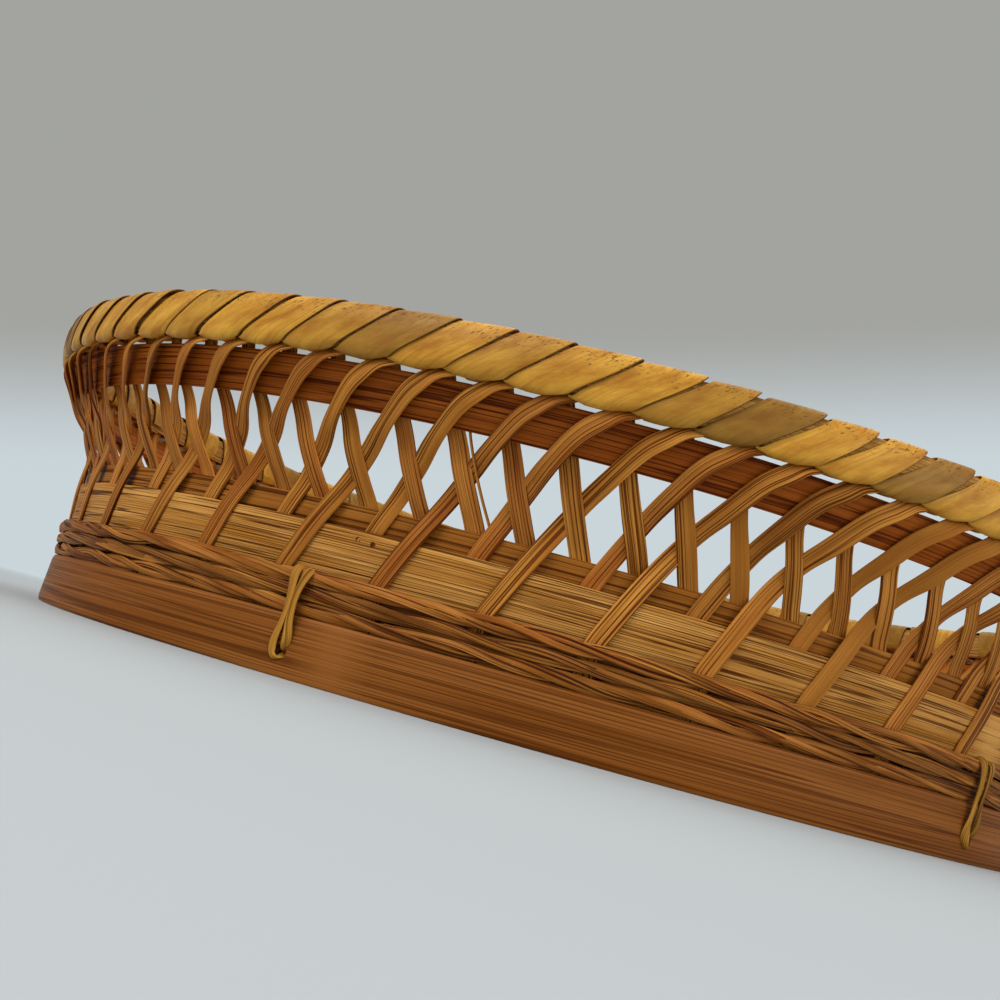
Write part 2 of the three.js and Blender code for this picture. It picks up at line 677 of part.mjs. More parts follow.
function matBody() {
  const ends = MAT_END_DEGREES.map((degrees) => matRadius * Math.cos(THREE.MathUtils.degToRad(degrees)));
  const sections = ends.map((x) => matSection(-x, 0));
  for (let seam = 1; seam < MAT_STRIPS; seam += 1) {
    const x = matRadius * ((2 * seam) / MAT_STRIPS - 1);
    sections.push(matSection(x - MAT_GROOVE_WIDTH / 2, 0));
    sections.push(matSection(x, MAT_GROOVE_DEPTH));
    sections.push(matSection(x + MAT_GROOVE_WIDTH / 2, 0));
  }
  sections.push(...ends.reverse().map((x) => matSection(x, 0)));
  const body = new Body();
  const first = sections[0];
  const last = sections[sections.length - 1];
  body.quad(first[3], first[2], first[1], first[0]);
  sections.slice(1).forEach((section, index) => {
    body.join(sections[index], section);
  });
  body.quad(last[0], last[1], last[2], last[3]);
  return body.geometry();
}
add("base_mat", matBody(), "#a9773f");
const pressBottom = MAT_TOP + FIT;
const pressTop = pressBottom + BASE_HOOP_HEIGHT;
const pressInside = pressOutside - BASE_HOOP_THICK;
const press = levelHoop(pressBottom, pressTop, pressInside, pressOutside, HOOP_SEGMENTS);
add("base_hoop", press, "#8a5c36");
const braceTop = MAT_BOTTOM - FIT;
const braceReach = (FOOT_RADIUS + innerFoot) * Math.cos(Math.PI / HOOP_SEGMENTS) - FIT;
for (const side of [1, 2]) {
  const y = (side === 1 ? -1 : 1) * (BRACE_SPACING / 2);
  const far = Math.abs(y) + BRACE_WIDTH / 2;
  const length = 2 * Math.sqrt(braceReach * braceReach - far * far);
  const brace = new THREE.BoxGeometry(length, BRACE_WIDTH, BRACE_THICK);
  brace.translate(0, y, braceTop - BRACE_THICK / 2);
  add(`base_brace_${side}`, brace, "#94632f");
}

export default tray;
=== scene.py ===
"""A round woven tray: split bamboo strands between bands, on a foot, under a rim bound with rattan peel."""
import math

import bmesh
import bpy
import numpy as np
from mathutils import Matrix, Vector


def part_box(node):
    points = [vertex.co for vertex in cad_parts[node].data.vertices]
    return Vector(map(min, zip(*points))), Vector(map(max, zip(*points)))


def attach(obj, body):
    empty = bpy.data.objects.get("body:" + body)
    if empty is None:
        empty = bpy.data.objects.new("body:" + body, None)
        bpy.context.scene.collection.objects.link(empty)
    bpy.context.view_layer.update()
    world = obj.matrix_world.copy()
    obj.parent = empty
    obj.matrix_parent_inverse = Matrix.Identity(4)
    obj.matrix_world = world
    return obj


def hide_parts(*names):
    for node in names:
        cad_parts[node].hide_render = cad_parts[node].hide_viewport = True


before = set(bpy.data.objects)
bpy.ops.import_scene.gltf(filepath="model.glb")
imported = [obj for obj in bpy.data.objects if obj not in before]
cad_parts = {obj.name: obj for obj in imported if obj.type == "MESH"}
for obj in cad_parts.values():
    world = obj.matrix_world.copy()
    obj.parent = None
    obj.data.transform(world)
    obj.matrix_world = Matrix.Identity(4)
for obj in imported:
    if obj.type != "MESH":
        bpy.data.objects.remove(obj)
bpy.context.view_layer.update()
chance = np.random.default_rng(11)

# Lengths are in millimetres until a mesh is made.
MM = 0.001
BODY = "root"
SHARP_ANGLE = math.radians(38)

# Wall: radius of its middle at the foot's top, the foot's spread at the ground, the outward run per
# millimetre of height below and above the bend, and the step inward at the rim.
FOOT_RADIUS = 129.4
FOOT_SPREAD = 0.4
LOWER_SLOPE = 0.11
UPPER_SLOPE = 0.55
RIM_INSET = 0.3

# Levels from the ground up.
ROOT_BOTTOM = 1.0
FOOT_TOP = 11.4
WALE_BOTTOM = 11.7
ROOT_TOP = 12.0
WALE_TOP = 18.9
WIDE_BOTTOM = 20.6
NARROW_BOTTOM = 27.9
WIDE_TOP = 29.0
BEND_START = 32.7
NARROW_TOP = 33.3
BEND_END = 41.7
UPPER_BOTTOM = 49.2
UPPER_TOP = 56.2
RIM_UNDER = 57.7
RIM_OVER = 66.54

# Pieces of the wall, and the gap between pieces that lie on each other.
FIT = 0.3
STRANDS = 84
STRANDS_PER_TIE = 14
STRANDS_PER_SLAT = 7
STRAND_WIDTH = 3.6
STRAND_THICK = 0.6
STRAND_ROOT = 2.0
BAND_THICK = 0.7
FOOT_THICK = 1.2
INNER_HOOP_THICK = 1.6
WRAP_THICK = 0.6
ROOT_SLIT = 1.4
RIM_COVER = 1.6

# Lean of the strands, in strand pitches: over the lower bands, the open part and the upper band, and per
# millimetre inside the rim. The first strand's place is an angle.
FIRST_STRAND = math.radians(-111.82)
FORWARD_LOW = 0.5
FORWARD_LEAN = 0.68
FORWARD_OPEN = 1.11
FORWARD_UPPER = 0.46
RIM_LEAN = 0.1
MIDDLE_SHIFT = 0.22
BACKWARD_LOW = 0.6
BACKWARD_OPEN = 0.7
BACKWARD_UPPER = 0.21
TIE_PLACE = 0.45

# Curve of the forward strands: the share of their open lean that comes late, their sag in pitches and the
# share of the open part below it, their sweep in pitches and how late it comes, and their twist.
LATE_LEAN = 0.16
FORWARD_SAG = 0.15
SAG_START = 0.42
FORWARD_SWEEP = 0.15
SWEEP_POWER = 6
FORWARD_TWIST = math.radians(24)

# Unevenness of the strands: drift and wave in pitches, the height to a radian of the wave, the range of
# widths, and how much the inner strands narrow at most.
STRAND_DRIFT = 0.07
STRAND_WAVE = 0.018
WAVE_RADIAN = 9.0
WIDTH_RANGE = (0.93, 1.04)
INNER_NARROWING = 0.2

# Smoothness: distance between a strand's points, and rounds of easing and of cutting corners.
STRAND_STEP = 0.9
EASING_ROUNDS = 3
STRAND_ROUNDS = 3
TIE_ROUNDS = 3
WRAP_ROUNDS = 2
STRIP_ROUNDS = 1
CORNER_CUT = 0.25
CORNER_SHARES = (0, 1 / 3, 2 / 3, 1)
ROOT_POINTS = 40

# What follows from those sizes.
PITCH = 2 * math.pi / STRANDS
TIES = STRANDS // STRANDS_PER_TIE
BAND_EXIT = UPPER_TOP + FIT
STRAND_START = ROOT_TOP - STRAND_ROOT
STRAND_END = RIM_OVER - RIM_COVER
OPEN_HEIGHT = UPPER_BOTTOM - NARROW_TOP
UPPER_HEIGHT = UPPER_TOP - UPPER_BOTTOM
LAYER = STRAND_THICK + FIT
SIDE_DEPTH = BAND_THICK / 2 + FIT + STRAND_THICK / 2
ROOT_BOW = FOOT_RADIUS * (1 - math.cos(PITCH))
OUTER_ROOT = SIDE_DEPTH + LAYER + ROOT_BOW
BACK_ROOT = SIDE_DEPTH - LAYER - ROOT_BOW
FOOT_DEPTH = OUTER_ROOT + STRAND_THICK / 2 + FIT
FOOT_OUTSIDE = FOOT_DEPTH + FOOT_THICK
INNER_HOOP_DEPTH = BACK_ROOT - STRAND_THICK / 2 - 1.5 * FIT

# Depths at which the strands lie on the bands and on each other, with hardly a gap.
NEAR = 0.05
ON_BAND = BAND_THICK / 2 + NEAR + STRAND_THICK / 2
WIDE_DEPTH = 2 * ON_BAND
ON_WIDE = WIDE_DEPTH + ON_BAND
CROSS_BEHIND = 0.15
CROSS_BEFORE = 0.8
END_DEPTH = 0.4

# How far the forward strands bulge before they tuck under the rim, and the share of that by height.
BULGE = 0.4
BULGE_STEPS = (
    (UPPER_BOTTOM + 0.3 * UPPER_HEIGHT, 0.2),
    (UPPER_BOTTOM + 0.55 * UPPER_HEIGHT, 0.5),
    (UPPER_BOTTOM + 0.8 * UPPER_HEIGHT, 1.0),
    (BAND_EXIT, 1.0),
    (RIM_UNDER - 0.5, 0.6),
    (RIM_UNDER, 0.0),
)


# Shape of the wall


def share_of(z, start, end):
    """Share of the way from one height to another, held between 0 and 1."""
    return min(max((z - start) / (end - start), 0), 1)


def wall_radius(z):
    """Radius of the wall's middle at a height; past the upper band it stands upright in the rim."""
    if z < ROOT_TOP:
        return FOOT_RADIUS + FOOT_SPREAD * (1 - z / ROOT_TOP)
    if z > BAND_EXIT:
        return wall_radius(UPPER_TOP) - RIM_INSET
    bend = min(max(z, BEND_START), BEND_END) - BEND_START
    straight = LOWER_SLOPE * (min(z, BEND_END) - ROOT_TOP)
    swing = (UPPER_SLOPE - LOWER_SLOPE) * bend**2 / (2 * (BEND_END - BEND_START))
    return FOOT_RADIUS + straight + swing + UPPER_SLOPE * max(z - BEND_END, 0)


def wall_slope(z):
    """Outward run of the wall per millimetre of height."""
    if z < ROOT_TOP or z > BAND_EXIT:
        return 0.0
    return LOWER_SLOPE + (UPPER_SLOPE - LOWER_SLOPE) * share_of(z, BEND_START, BEND_END)


def wall(z, depth):
    """Radius and height of a point at a depth outside the wall's middle."""
    slope = wall_slope(z)
    run = math.hypot(1, slope)
    return wall_radius(z) + depth / run, z - depth * slope / run


# Paths and directions


def round_about(angle, radius, height):
    """Points in space from angles, radii and heights."""
    return np.stack([radius * np.cos(angle), radius * np.sin(angle), height + 0 * angle], axis=-1)


def unit(vectors):
    """Vectors at length one."""
    return vectors / np.linalg.norm(vectors, axis=-1, keepdims=True)


def outward(points):
    """Level directions away from the tray's axis."""
    return unit(points * [1, 1, 0])


def ring_way(points):
    """Directions along a closed path."""
    return unit(np.roll(points, -1, axis=0) - np.roll(points, 1, axis=0))


def without(vectors, way, share=1.0):
    """Vectors less a share of what runs along a direction."""
    return vectors - way * np.sum(vectors * way, axis=1, keepdims=True) * share


def squared(face, along):
    """Sides and faces of a splint, squared to its path."""
    face = unit(without(face, along))
    return np.cross(face, along), face


def rounded(points, rounds, ring=False):
    """A path with its corners cut, so that it bends smoothly."""
    points = np.asarray(points, float)
    rest = 1 - CORNER_CUT
    for _ in range(rounds):
        after = np.roll(points, -1, axis=0)
        cut = np.stack([rest * points + CORNER_CUT * after, CORNER_CUT * points + rest * after], axis=1)
        if ring:
            points = cut.reshape(-1, points.shape[1])
        else:
            points = np.vstack([points[:1], cut[:-1].reshape(-1, points.shape[1]), points[-1:]])
    return points


def evenly(points, step):
    """A path of turn, radius and height with a point about every step, eased where it bends."""
    arc = points * [PITCH * FOOT_RADIUS, 1, 1]
    length = np.concatenate([[0], np.cumsum(np.linalg.norm(np.diff(arc, axis=0), axis=1))])
    count = max(int(length[-1] / step), 2) + 1
    places = np.linspace(0, length[-1], count)
    path = np.column_stack([np.interp(places, length, column) for column in points.T])
    for _ in range(EASING_ROUNDS):
        path[1:-1] = 0.25 * path[:-2] + 0.5 * path[1:-1] + 0.25 * path[2:]
    return path


# Tubes and pieces


class Part:
    """A closed tube of sections along a path; grain is across, along and seed, and place is in shares."""

    def __init__(self, sections, grain, place, ring=False):
        self.sections = sections
        self.grain = grain
        self.place = place
        self.ring = ring

    def faces(self, start):
        """Quads between the sections, and a cap at each end of an open tube."""
        count, around = self.sections.shape[:2]
        rows = np.arange(count if self.ring else count - 1)
        here = rows[:, None] * around + start
        after = ((rows + 1) % count)[:, None] * around + start
        one = np.arange(around)[None, :]
        two = (one + 1) % around
        quads = np.stack([here + one, here + two, after + two, after + one], axis=-1)
        made = quads.reshape(-1, 4).tolist()
        if not self.ring:
            first = list(range(start, start + around))
            last = [index + (count - 1) * around for index in first]
            made += [first[::-1], last]
        return made


def sweep(middle, side, face, profile, seed, ring=False):
    """A tube along a path: side and face are half its width and half its thickness at each step."""
    across = profile[None, :, :1]
    through = profile[None, :, 1:]
    sections = middle[:, None] + across * side[:, None] + through * face[:, None]
    steps = np.linalg.norm(np.diff(middle, axis=0), axis=1)
    along = np.concatenate([[0], np.cumsum(steps)])[:, None]
    width = np.linalg.norm(side, axis=1)[:, None]
    seeds = np.broadcast_to(np.asarray(seed, float).reshape(-1, 1), (len(middle), len(profile)))
    flat = profile[None, :, 0]
    deep = profile[None, :, 1]
    grain = np.stack([flat * width, along + 0 * flat, seeds], axis=-1)
    place = np.stack([flat + 0 * along, deep + 0 * along, along / along[-1] + 0 * flat], axis=-1)
    return Part(sections, grain, place, ring)


def piece(name, parts, material, slot, *nodes):
    """One object from its parts, riding on the tray and standing for its solids."""
    vertices = np.concatenate([part.sections.reshape(-1, 3) for part in parts]) * MM
    faces = []
    start = 0
    for part in parts:
        faces += part.faces(start)
        start += part.sections.shape[0] * part.sections.shape[1]
    mesh = bpy.data.meshes.new(name)
    mesh.from_pydata(vertices.tolist(), [], faces)
    for label in ("grain", "place"):
        numbers = np.concatenate([getattr(part, label).reshape(-1, 3) for part in parts])
        layer = mesh.attributes.new(label, "FLOAT_VECTOR", "POINT")
        layer.data.foreach_set("vector", numbers.astype(np.float32).ravel())
    mesh.polygons.foreach_set("use_smooth", [True] * len(mesh.polygons))
    mesh.set_sharp_from_angle(angle=SHARP_ANGLE)
    mesh.materials.append(material)
    made = bpy.data.objects.new(name, mesh)
    bpy.context.scene.collection.objects.link(made)
    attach(made, BODY)
    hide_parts(*nodes)
    return made


# Sections, as shares of half the width and half the thickness.
SPLINT = np.array([
    [1, 0.1], [0.93, 0.72], [0.6, 0.95], [0, 1], [-0.6, 0.95], [-0.93, 0.72], [-1, 0.1],
    [-0.95, -0.8], [-0.5, -1], [0.5, -1], [0.95, -0.8],
])
PEEL = np.array([
    [1, -0.3], [0.975, 0.4], [0.85, 0.78], [0.45, 0.95], [0, 1], [-0.45, 0.95], [-0.85, 0.78],
    [-0.975, 0.4], [-1, -0.3], [-0.9, -0.9], [0, -1], [0.9, -0.9],
])
STRIP = np.array([[1, -0.6], [0.94, 0.7], [0, 1], [-0.94, 0.7], [-1, -0.6], [0, -1]])
ROUND_COUNT = 12
OVAL = np.array([
    [math.cos(2 * math.pi * step / ROUND_COUNT), math.sin(2 * math.pi * step / ROUND_COUNT)]
    for step in range(ROUND_COUNT)
])


# Materials

# How far apart splints lie in the patterns, so that no two look alike.
SEED_SHIFT = 57.0
TONE_SHIFT = 7.3
# Fibre lines: thinness as a share of the noise, scale and share of the faint ones, and scale of the streaks.
LINE_THIN = 0.07
FAINT_SCALE = 2.3
FAINT_SHARE = 0.35
STREAK_SCALE = 2.4
# Lengths of streaks and of drifts in tone on a splint, the breadth of a drift, and the depth of its lines.
STREAK_LENGTH = 140
DRIFT_WIDTH = 4.0
DRIFT_LENGTH = 24
LINE_DEPTH = 0.1
# A drift in tone on a hoop: five lines broad and half a streak long.
HOOP_DRIFT_LINES = 5
HOOP_DRIFT_STREAKS = 0.5
# The pale, knotted stretch at a joint of the cane: half its length where it is palest, and in all.
JOINT_HALF = 1.5
JOINT_REACH = 8.0
# Dry bamboo hardly shines, and the skin of rattan shines a little.
BAMBOO_SHINE = 0.06
PEEL_SHINE = 0.16
# Rattan peel: golden ground and its deeper drift, fibre, specks, painted shade along the raised edge, and old
# windings.
PEEL_LIGHT = "#d29c38"
PEEL_DEEP = "#a66a18"
PEEL_FIBRE = "#96601c"
PEEL_SPECK = "#573510"
PEEL_EDGE_SHADE = "#4e2a0a"
PEEL_OLD = "#6d4c20"
# Its pattern across and along: fibre streaks, drifts in tone, and specks.
PEEL_STREAKS = (0.6, 30)
PEEL_PATCHES = (5.0, 8.0)
PEEL_DOTS = (0.55, 0.9)
# Heights between which the peel gets more specks, because hands and dust reach the rim's top.
SPECK_LOW = 61.0
SPECK_HIGH = 65.0
PEEL_GRIT_DEPTH = 0.1


def colour(code):
    """Linear colour from an sRGB hex value."""
    parts = [int(code[index:index + 2], 16) / 255 for index in (1, 3, 5)]
    return [part / 12.92 if part <= 0.04045 else ((part + 0.055) / 1.055) ** 2.4 for part in parts] + [1]


def add(tree, kind, inputs=None, **settings):
    """A shader node with its settings; inputs are values or the outputs that feed them.

    Inputs go by name or by place: Map Range has its limits at 1 to 4, and Mix its colours at 6 and 7.
    """
    made = tree.nodes.new("ShaderNode" + kind)
    for name, value in settings.items():
        setattr(made, name, value)
    for name, value in (inputs or {}).items():
        if isinstance(value, bpy.types.NodeSocket):
            tree.links.new(value, made.inputs[name])
        else:
            made.inputs[name].default_value = value
    return made


def new_material(name):
    """An empty material with its tree and its surface shader."""
    material = bpy.data.materials.new(name)
    material.use_nodes = True
    tree = material.node_tree
    return material, tree, tree.nodes["Principled BSDF"]


def splint_coordinates(tree, across_mm, along_mm):
    """Coordinates along a splint, in lines across and streaks along, and the splint's seed."""
    grain = add(tree, "Attribute", attribute_name="grain").outputs["Vector"]
    seed = add(tree, "SeparateXYZ", {0: grain}).outputs[2]
    apart = add(tree, "Math", {0: seed, 1: SEED_SHIFT}, operation="MULTIPLY").outputs[0]
    scale = (1 / across_mm, 1 / along_mm, 0)
    scaled = add(tree, "VectorMath", {0: grain, 1: scale}, operation="MULTIPLY").outputs[0]
    shift = add(tree, "CombineXYZ", {0: apart, 1: apart, 2: apart}).outputs[0]
    return add(tree, "VectorMath", {0: scaled, 1: shift}, operation="ADD").outputs[0], seed


def ring_coordinates(tree, across_mm, along_mm):
    """Coordinates on a hoop: fibre lines run round it, so height counts far more than arc."""
    place = add(tree, "TexCoord").outputs["Object"]
    scale = (1 / (along_mm * MM), 1 / (along_mm * MM), 1 / (across_mm * MM))
    return add(tree, "VectorMath", {0: place, 1: scale}, operation="MULTIPLY").outputs[0]


def thin_lines(tree, coordinates, scale):
    """Thin lines where a stretched noise passes its middle value."""
    noise = add(tree, "TexNoise", {"Vector": coordinates, "Scale": scale, "Detail": 0.5}).outputs[0]
    away = add(tree, "Math", {0: noise, 1: 0.5}, operation="SUBTRACT").outputs[0]
    far = add(tree, "Math", {0: away}, operation="ABSOLUTE").outputs[0]
    return add(tree, "MapRange", {0: far, 1: LINE_THIN / 3, 2: LINE_THIN, 3: 1.0, 4: 0.0}).outputs[0]


def fibre_surface(tree, shader, fine, broad, tones, rough, depth_mm, shading=0.35, bare=0.0):
    """Bamboo's look: crisp dark fibre lines that come and go, on a streaked ground that drifts in tone."""
    light, deep, dark = (colour(tone) for tone in tones)
    streaks = {"Vector": fine, "Scale": STREAK_SCALE, "Detail": 4.0, "Roughness": 0.6}
    streak = add(tree, "TexNoise", streaks).outputs[0]
    patch = add(tree, "TexNoise", {"Vector": broad, "Scale": 1.0, "Detail": 3.0}).outputs[0]
    drift = add(tree, "MapRange", {0: patch, 1: 0.32, 2: 0.68}).outputs[0]
    ground = add(tree, "Mix", {0: drift, 6: light, 7: deep}, data_type="RGBA").outputs[2]
    shade = add(tree, "MapRange", {0: streak, 1: 0.46, 2: 0.72, 4: shading}).outputs[0]
    streaked = add(tree, "Mix", {0: shade, 6: ground, 7: dark}, data_type="RGBA").outputs[2]
    # Strong lines fade where the ground is pale, and faint ones lie between them.
    fade = add(tree, "MapRange", {0: streak, 1: 0.34, 2: 0.5, 3: 0.6, 4: 0.95}).outputs[0]
    lines = thin_lines(tree, fine, 1.0)
    strong = add(tree, "Math", {0: lines, 1: fade}, operation="MULTIPLY").outputs[0]
    lines = thin_lines(tree, fine, FAINT_SCALE)
    faint = add(tree, "Math", {0: lines, 1: FAINT_SHARE}, operation="MULTIPLY").outputs[0]
    both = add(tree, "Math", {0: strong, 1: faint}, operation="MAXIMUM").outputs[0]
    kept = add(tree, "Math", {0: 1.0, 1: bare}, operation="SUBTRACT").outputs[0]
    mark = add(tree, "Math", {0: both, 1: kept}, operation="MULTIPLY").outputs[0]
    shown = add(tree, "Mix", {0: mark, 6: streaked, 7: dark}, data_type="RGBA").outputs[2]
    sheen = add(tree, "MapRange", {0: streak, 1: 0.3, 2: 0.7, 3: rough - 0.06, 4: rough + 0.12}).outputs[0]
    sunk = add(tree, "Math", {0: mark, 1: shade}, operation="ADD").outputs[0]
    bump = add(tree, "Bump", {"Height": sunk, "Strength": 0.6, "Distance": depth_mm * MM}, invert=True)
    tree.links.new(sheen, shader.inputs["Roughness"])
    tree.links.new(bump.outputs[0], shader.inputs["Normal"])
    shader.inputs["Specular IOR Level"].default_value = BAMBOO_SHINE
    return shown


def split_bamboo(name, tones, line_mm=0.75, rough=0.5, spread=0.12, shading=0.35, bare_from=1.0):
    """Split bamboo, shaved flat: straight dark fibre lines along it, but for a few splints skin side out."""
    material, tree, shader = new_material(name)
    fine, seed = splint_coordinates(tree, line_mm, STREAK_LENGTH)
    broad, _ = splint_coordinates(tree, DRIFT_WIDTH, DRIFT_LENGTH)
    bare = add(tree, "MapRange", {0: seed, 1: bare_from, 2: bare_from + 0.01, 4: 0.5}).outputs[0]
    lined = fibre_surface(tree, shader, fine, broad, tones, rough, LINE_DEPTH, shading, bare)
    shown = add(tree, "Mix", {0: bare, 6: lined, 7: colour(tones[1])}, data_type="RGBA").outputs[2]
    mixed = add(tree, "Math", {0: seed, 1: TONE_SHIFT}, operation="MULTIPLY").outputs[0]
    other = add(tree, "Math", {0: mixed}, operation="FRACT").outputs[0]
    value = add(tree, "MapRange", {0: other, 3: 1 - spread, 4: 1 + spread}).outputs[0]
    hue = add(tree, "MapRange", {0: seed, 3: 0.495, 4: 0.503}).outputs[0]
    varied = add(tree, "HueSaturation", {"Hue": hue, "Value": value, "Color": shown}).outputs[0]
    tree.links.new(varied, shader.inputs["Base Color"])
    return material


def bamboo_hoop(name, tones, line_mm, streak_mm, rough=0.48, depth_mm=0.08, shading=0.35, joints=()):
    """Bamboo band bent into a hoop: fibre lines run round it, paler and knotted at the cane's joints."""
    material, tree, shader = new_material(name)
    fine = ring_coordinates(tree, line_mm, streak_mm)
    broad = ring_coordinates(tree, HOOP_DRIFT_LINES * line_mm, HOOP_DRIFT_STREAKS * streak_mm)
    shown = fibre_surface(tree, shader, fine, broad, tones, rough, depth_mm, shading)
    place = add(tree, "TexCoord").outputs["Object"]
    pale = {1: JOINT_HALF * MM, 2: JOINT_REACH * MM, 3: 0.6, 4: 0.0}
    for degrees in joints:
        angle = math.radians(degrees)
        way = (-math.sin(angle), math.cos(angle), 0)
        front = (math.cos(angle), math.sin(angle), 0)
        along = add(tree, "VectorMath", {0: place, 1: way}, operation="DOT_PRODUCT").outputs["Value"]
        ahead = add(tree, "VectorMath", {0: place, 1: front}, operation="DOT_PRODUCT").outputs["Value"]
        far = add(tree, "Math", {0: along}, operation="ABSOLUTE").outputs[0]
        near = add(tree, "MapRange", {0: far, **pale}).outputs[0]
        here = add(tree, "Math", {0: ahead, 1: 0.0}, operation="GREATER_THAN").outputs[0]
        mask = add(tree, "Math", {0: near, 1: here}, operation="MULTIPLY").outputs[0]
        shown = add(tree, "Mix", {0: mask, 6: shown, 7: colour(tones[0])}, data_type="RGBA").outputs[2]
    tree.links.new(shown, shader.inputs["Base Color"])
    return material


def rattan_peel(name):
    """Rattan peel, the glossy skin of the cane: golden, finely streaked, and specked along the top."""
    material, tree, shader = new_material(name)
    fine, seed = splint_coordinates(tree, *PEEL_STREAKS)
    broad, _ = splint_coordinates(tree, *PEEL_PATCHES)
    small, _ = splint_coordinates(tree, *PEEL_DOTS)
    noise = {"Scale": 1.0, "Roughness": 0.6}
    streak = add(tree, "TexNoise", {"Vector": fine, "Detail": 4.0, **noise}).outputs[0]
    patch = add(tree, "TexNoise", {"Vector": broad, "Detail": 4.0, **noise}).outputs[0]
    dots = add(tree, "TexNoise", {"Vector": small, "Detail": 3.0, **noise}).outputs[0]
    drift = add(tree, "MapRange", {0: patch, 1: 0.36, 2: 0.68}).outputs[0]
    tones = {6: colour(PEEL_LIGHT), 7: colour(PEEL_DEEP)}
    ground = add(tree, "Mix", {0: drift, **tones}, data_type="RGBA").outputs[2]
    fibre = add(tree, "MapRange", {0: streak, 1: 0.5, 2: 0.72, 4: 0.6}).outputs[0]
    lined = add(tree, "Mix", {0: fibre, 6: ground, 7: colour(PEEL_FIBRE)}, data_type="RGBA").outputs[2]
    # Specks, which gather towards the top of the rim.
    height = add(tree, "SeparateXYZ", {0: add(tree, "TexCoord").outputs["Object"]}).outputs[2]
    limits = {1: SPECK_LOW * MM, 2: SPECK_HIGH * MM, 3: 0.85, 4: 1.12}
    upper = add(tree, "MapRange", {0: height, **limits}).outputs[0]
    spotted = add(tree, "Math", {0: dots, 1: upper}, operation="MULTIPLY").outputs[0]
    speck = add(tree, "MapRange", {0: spotted, 1: 0.62, 2: 0.72, 4: 0.8}).outputs[0]
    specked = add(tree, "Mix", {0: speck, 6: lined, 7: colour(PEEL_SPECK)}, data_type="RGBA").outputs[2]
    # The raised edge that lies over the next winding is painted dark: painted shade of its thickness and of
    # the shadow line it casts.
    place = add(tree, "Attribute", attribute_name="place").outputs["Vector"]
    across = add(tree, "SeparateXYZ", {0: place}).outputs[0]
    edge_shade = add(tree, "MapRange", {0: across, 1: -0.93, 2: -0.99, 4: 0.9}).outputs[0]
    edge_shaded = add(tree, "Mix", {0: edge_shade, 6: specked, 7: colour(PEEL_EDGE_SHADE)}, data_type="RGBA").outputs[2]
    # Some windings have aged more than others.
    old = add(tree, "MapRange", {0: seed, 1: 0.6, 2: 0.95, 4: 0.5}).outputs[0]
    aged = add(tree, "Mix", {0: old, 6: edge_shaded, 7: colour(PEEL_OLD)}, data_type="RGBA").outputs[2]
    value = add(tree, "MapRange", {0: seed, 3: 1.04, 4: 0.76}).outputs[0]
    varied = add(tree, "HueSaturation", {"Value": value, "Color": aged}).outputs[0]
    tree.links.new(varied, shader.inputs["Base Color"])
    sheen = add(tree, "MapRange", {0: patch, 1: 0.3, 2: 0.7, 3: 0.36, 4: 0.52}).outputs[0]
    tree.links.new(sheen, shader.inputs["Roughness"])
    grit = add(tree, "Math", {0: streak, 1: dots}, operation="ADD").outputs[0]
    bump = add(tree, "Bump", {"Height": grit, "Strength": 0.4, "Distance": PEEL_GRIT_DEPTH * MM}).outputs[0]
    tree.links.new(bump, shader.inputs["Normal"])
    shader.inputs["Specular IOR Level"].default_value = PEEL_SHINE
    return material


# Real bamboo fibres lie 0.2 to 0.3 mm apart, too fine to show in the render, so the fibre lines are drawn
# two to four times as coarse.

# Strands, split bamboo shaved by hand: warm tan, with crisp dark lines along them and a few smooth ones.
strand_bamboo = split_bamboo(
    "split_bamboo_strand", ("#ca883a", "#a86524", "#562200"), line_mm=0.64, bare_from=0.965
)
# Wale, thin split bamboo: dark brown, and each splint of a tone of its own, so that the twist shows.
wale_bamboo = split_bamboo(
    "split_bamboo_wale", ("#b67833", "#78410f", "#341000"), line_mm=0.6,
    rough=0.46, spread=0.42, shading=0.5,
)
# Floor, plaited split bamboo: dull straw brown, with the strips' own lines turning at every crossing.
mat_bamboo = split_bamboo("split_bamboo_floor", ("#b58448", "#9c6a30", "#54300c"), line_mm=1.2)
# Ties, split cane: yellower than the bamboo round them, with fine lines and a soft sheen.
tie_cane = split_bamboo("split_cane_tie", ("#c08c36", "#9c6a26", "#5a360c"), line_mm=0.6, rough=0.45)
# Foot, a plain bamboo band rubbed smooth: red-brown, finely streaked, with a soft sheen.
foot_bamboo = bamboo_hoop(
    "bamboo_foot", ("#965c28", "#804814", "#5a2e08"), line_mm=0.7, streak_mm=140,
    rough=0.42, depth_mm=0.03, shading=0.6, joints=(-105.5, 12, 131),
)
# Wide band, bamboo shaved on its face: pale straw, with dense short dark streaks.
wide_bamboo = bamboo_hoop(
    "bamboo_wide_band", ("#d89e52", "#b4762a", "#4c2000"), line_mm=0.44, streak_mm=64,
    shading=0.46, joints=(-48, 80, 205),
)
# Narrow band, split bamboo: plain mid brown, and quiet behind the strands.
narrow_bamboo = bamboo_hoop(
    "bamboo_narrow_band", ("#ae702c", "#8e5416", "#4c2000"), line_mm=0.9, streak_mm=90
)
# Upper band, bamboo stained dark: deep red-brown, the darkest ring between the pale strands.
upper_bamboo = bamboo_hoop(
    "bamboo_upper_band", ("#b05e1c", "#8a4009", "#4a1600"), line_mm=0.8, streak_mm=90,
    joints=(-20, 100, 225),
)
# Hoops of the foot and the floor, rough split bamboo: dull brown.
hoop_bamboo = bamboo_hoop("bamboo_hoop", ("#96622a", "#7c4a18", "#48240a"), line_mm=0.8, streak_mm=60)
# Core of the rim, peeled cane: matt and pale, so that the seams of the wrap don't go black.
core_cane = bamboo_hoop(
    "cane_core", ("#c4924c", "#ae7c3a", "#8a5a24"), line_mm=0.7, streak_mm=40, rough=0.7, depth_mm=0.2
)
# Wrap of the rim, rattan peel with its skin on: golden and softly glossy, with specks and scuffs.
peel = rattan_peel("rattan_peel")


# Strands of the wall

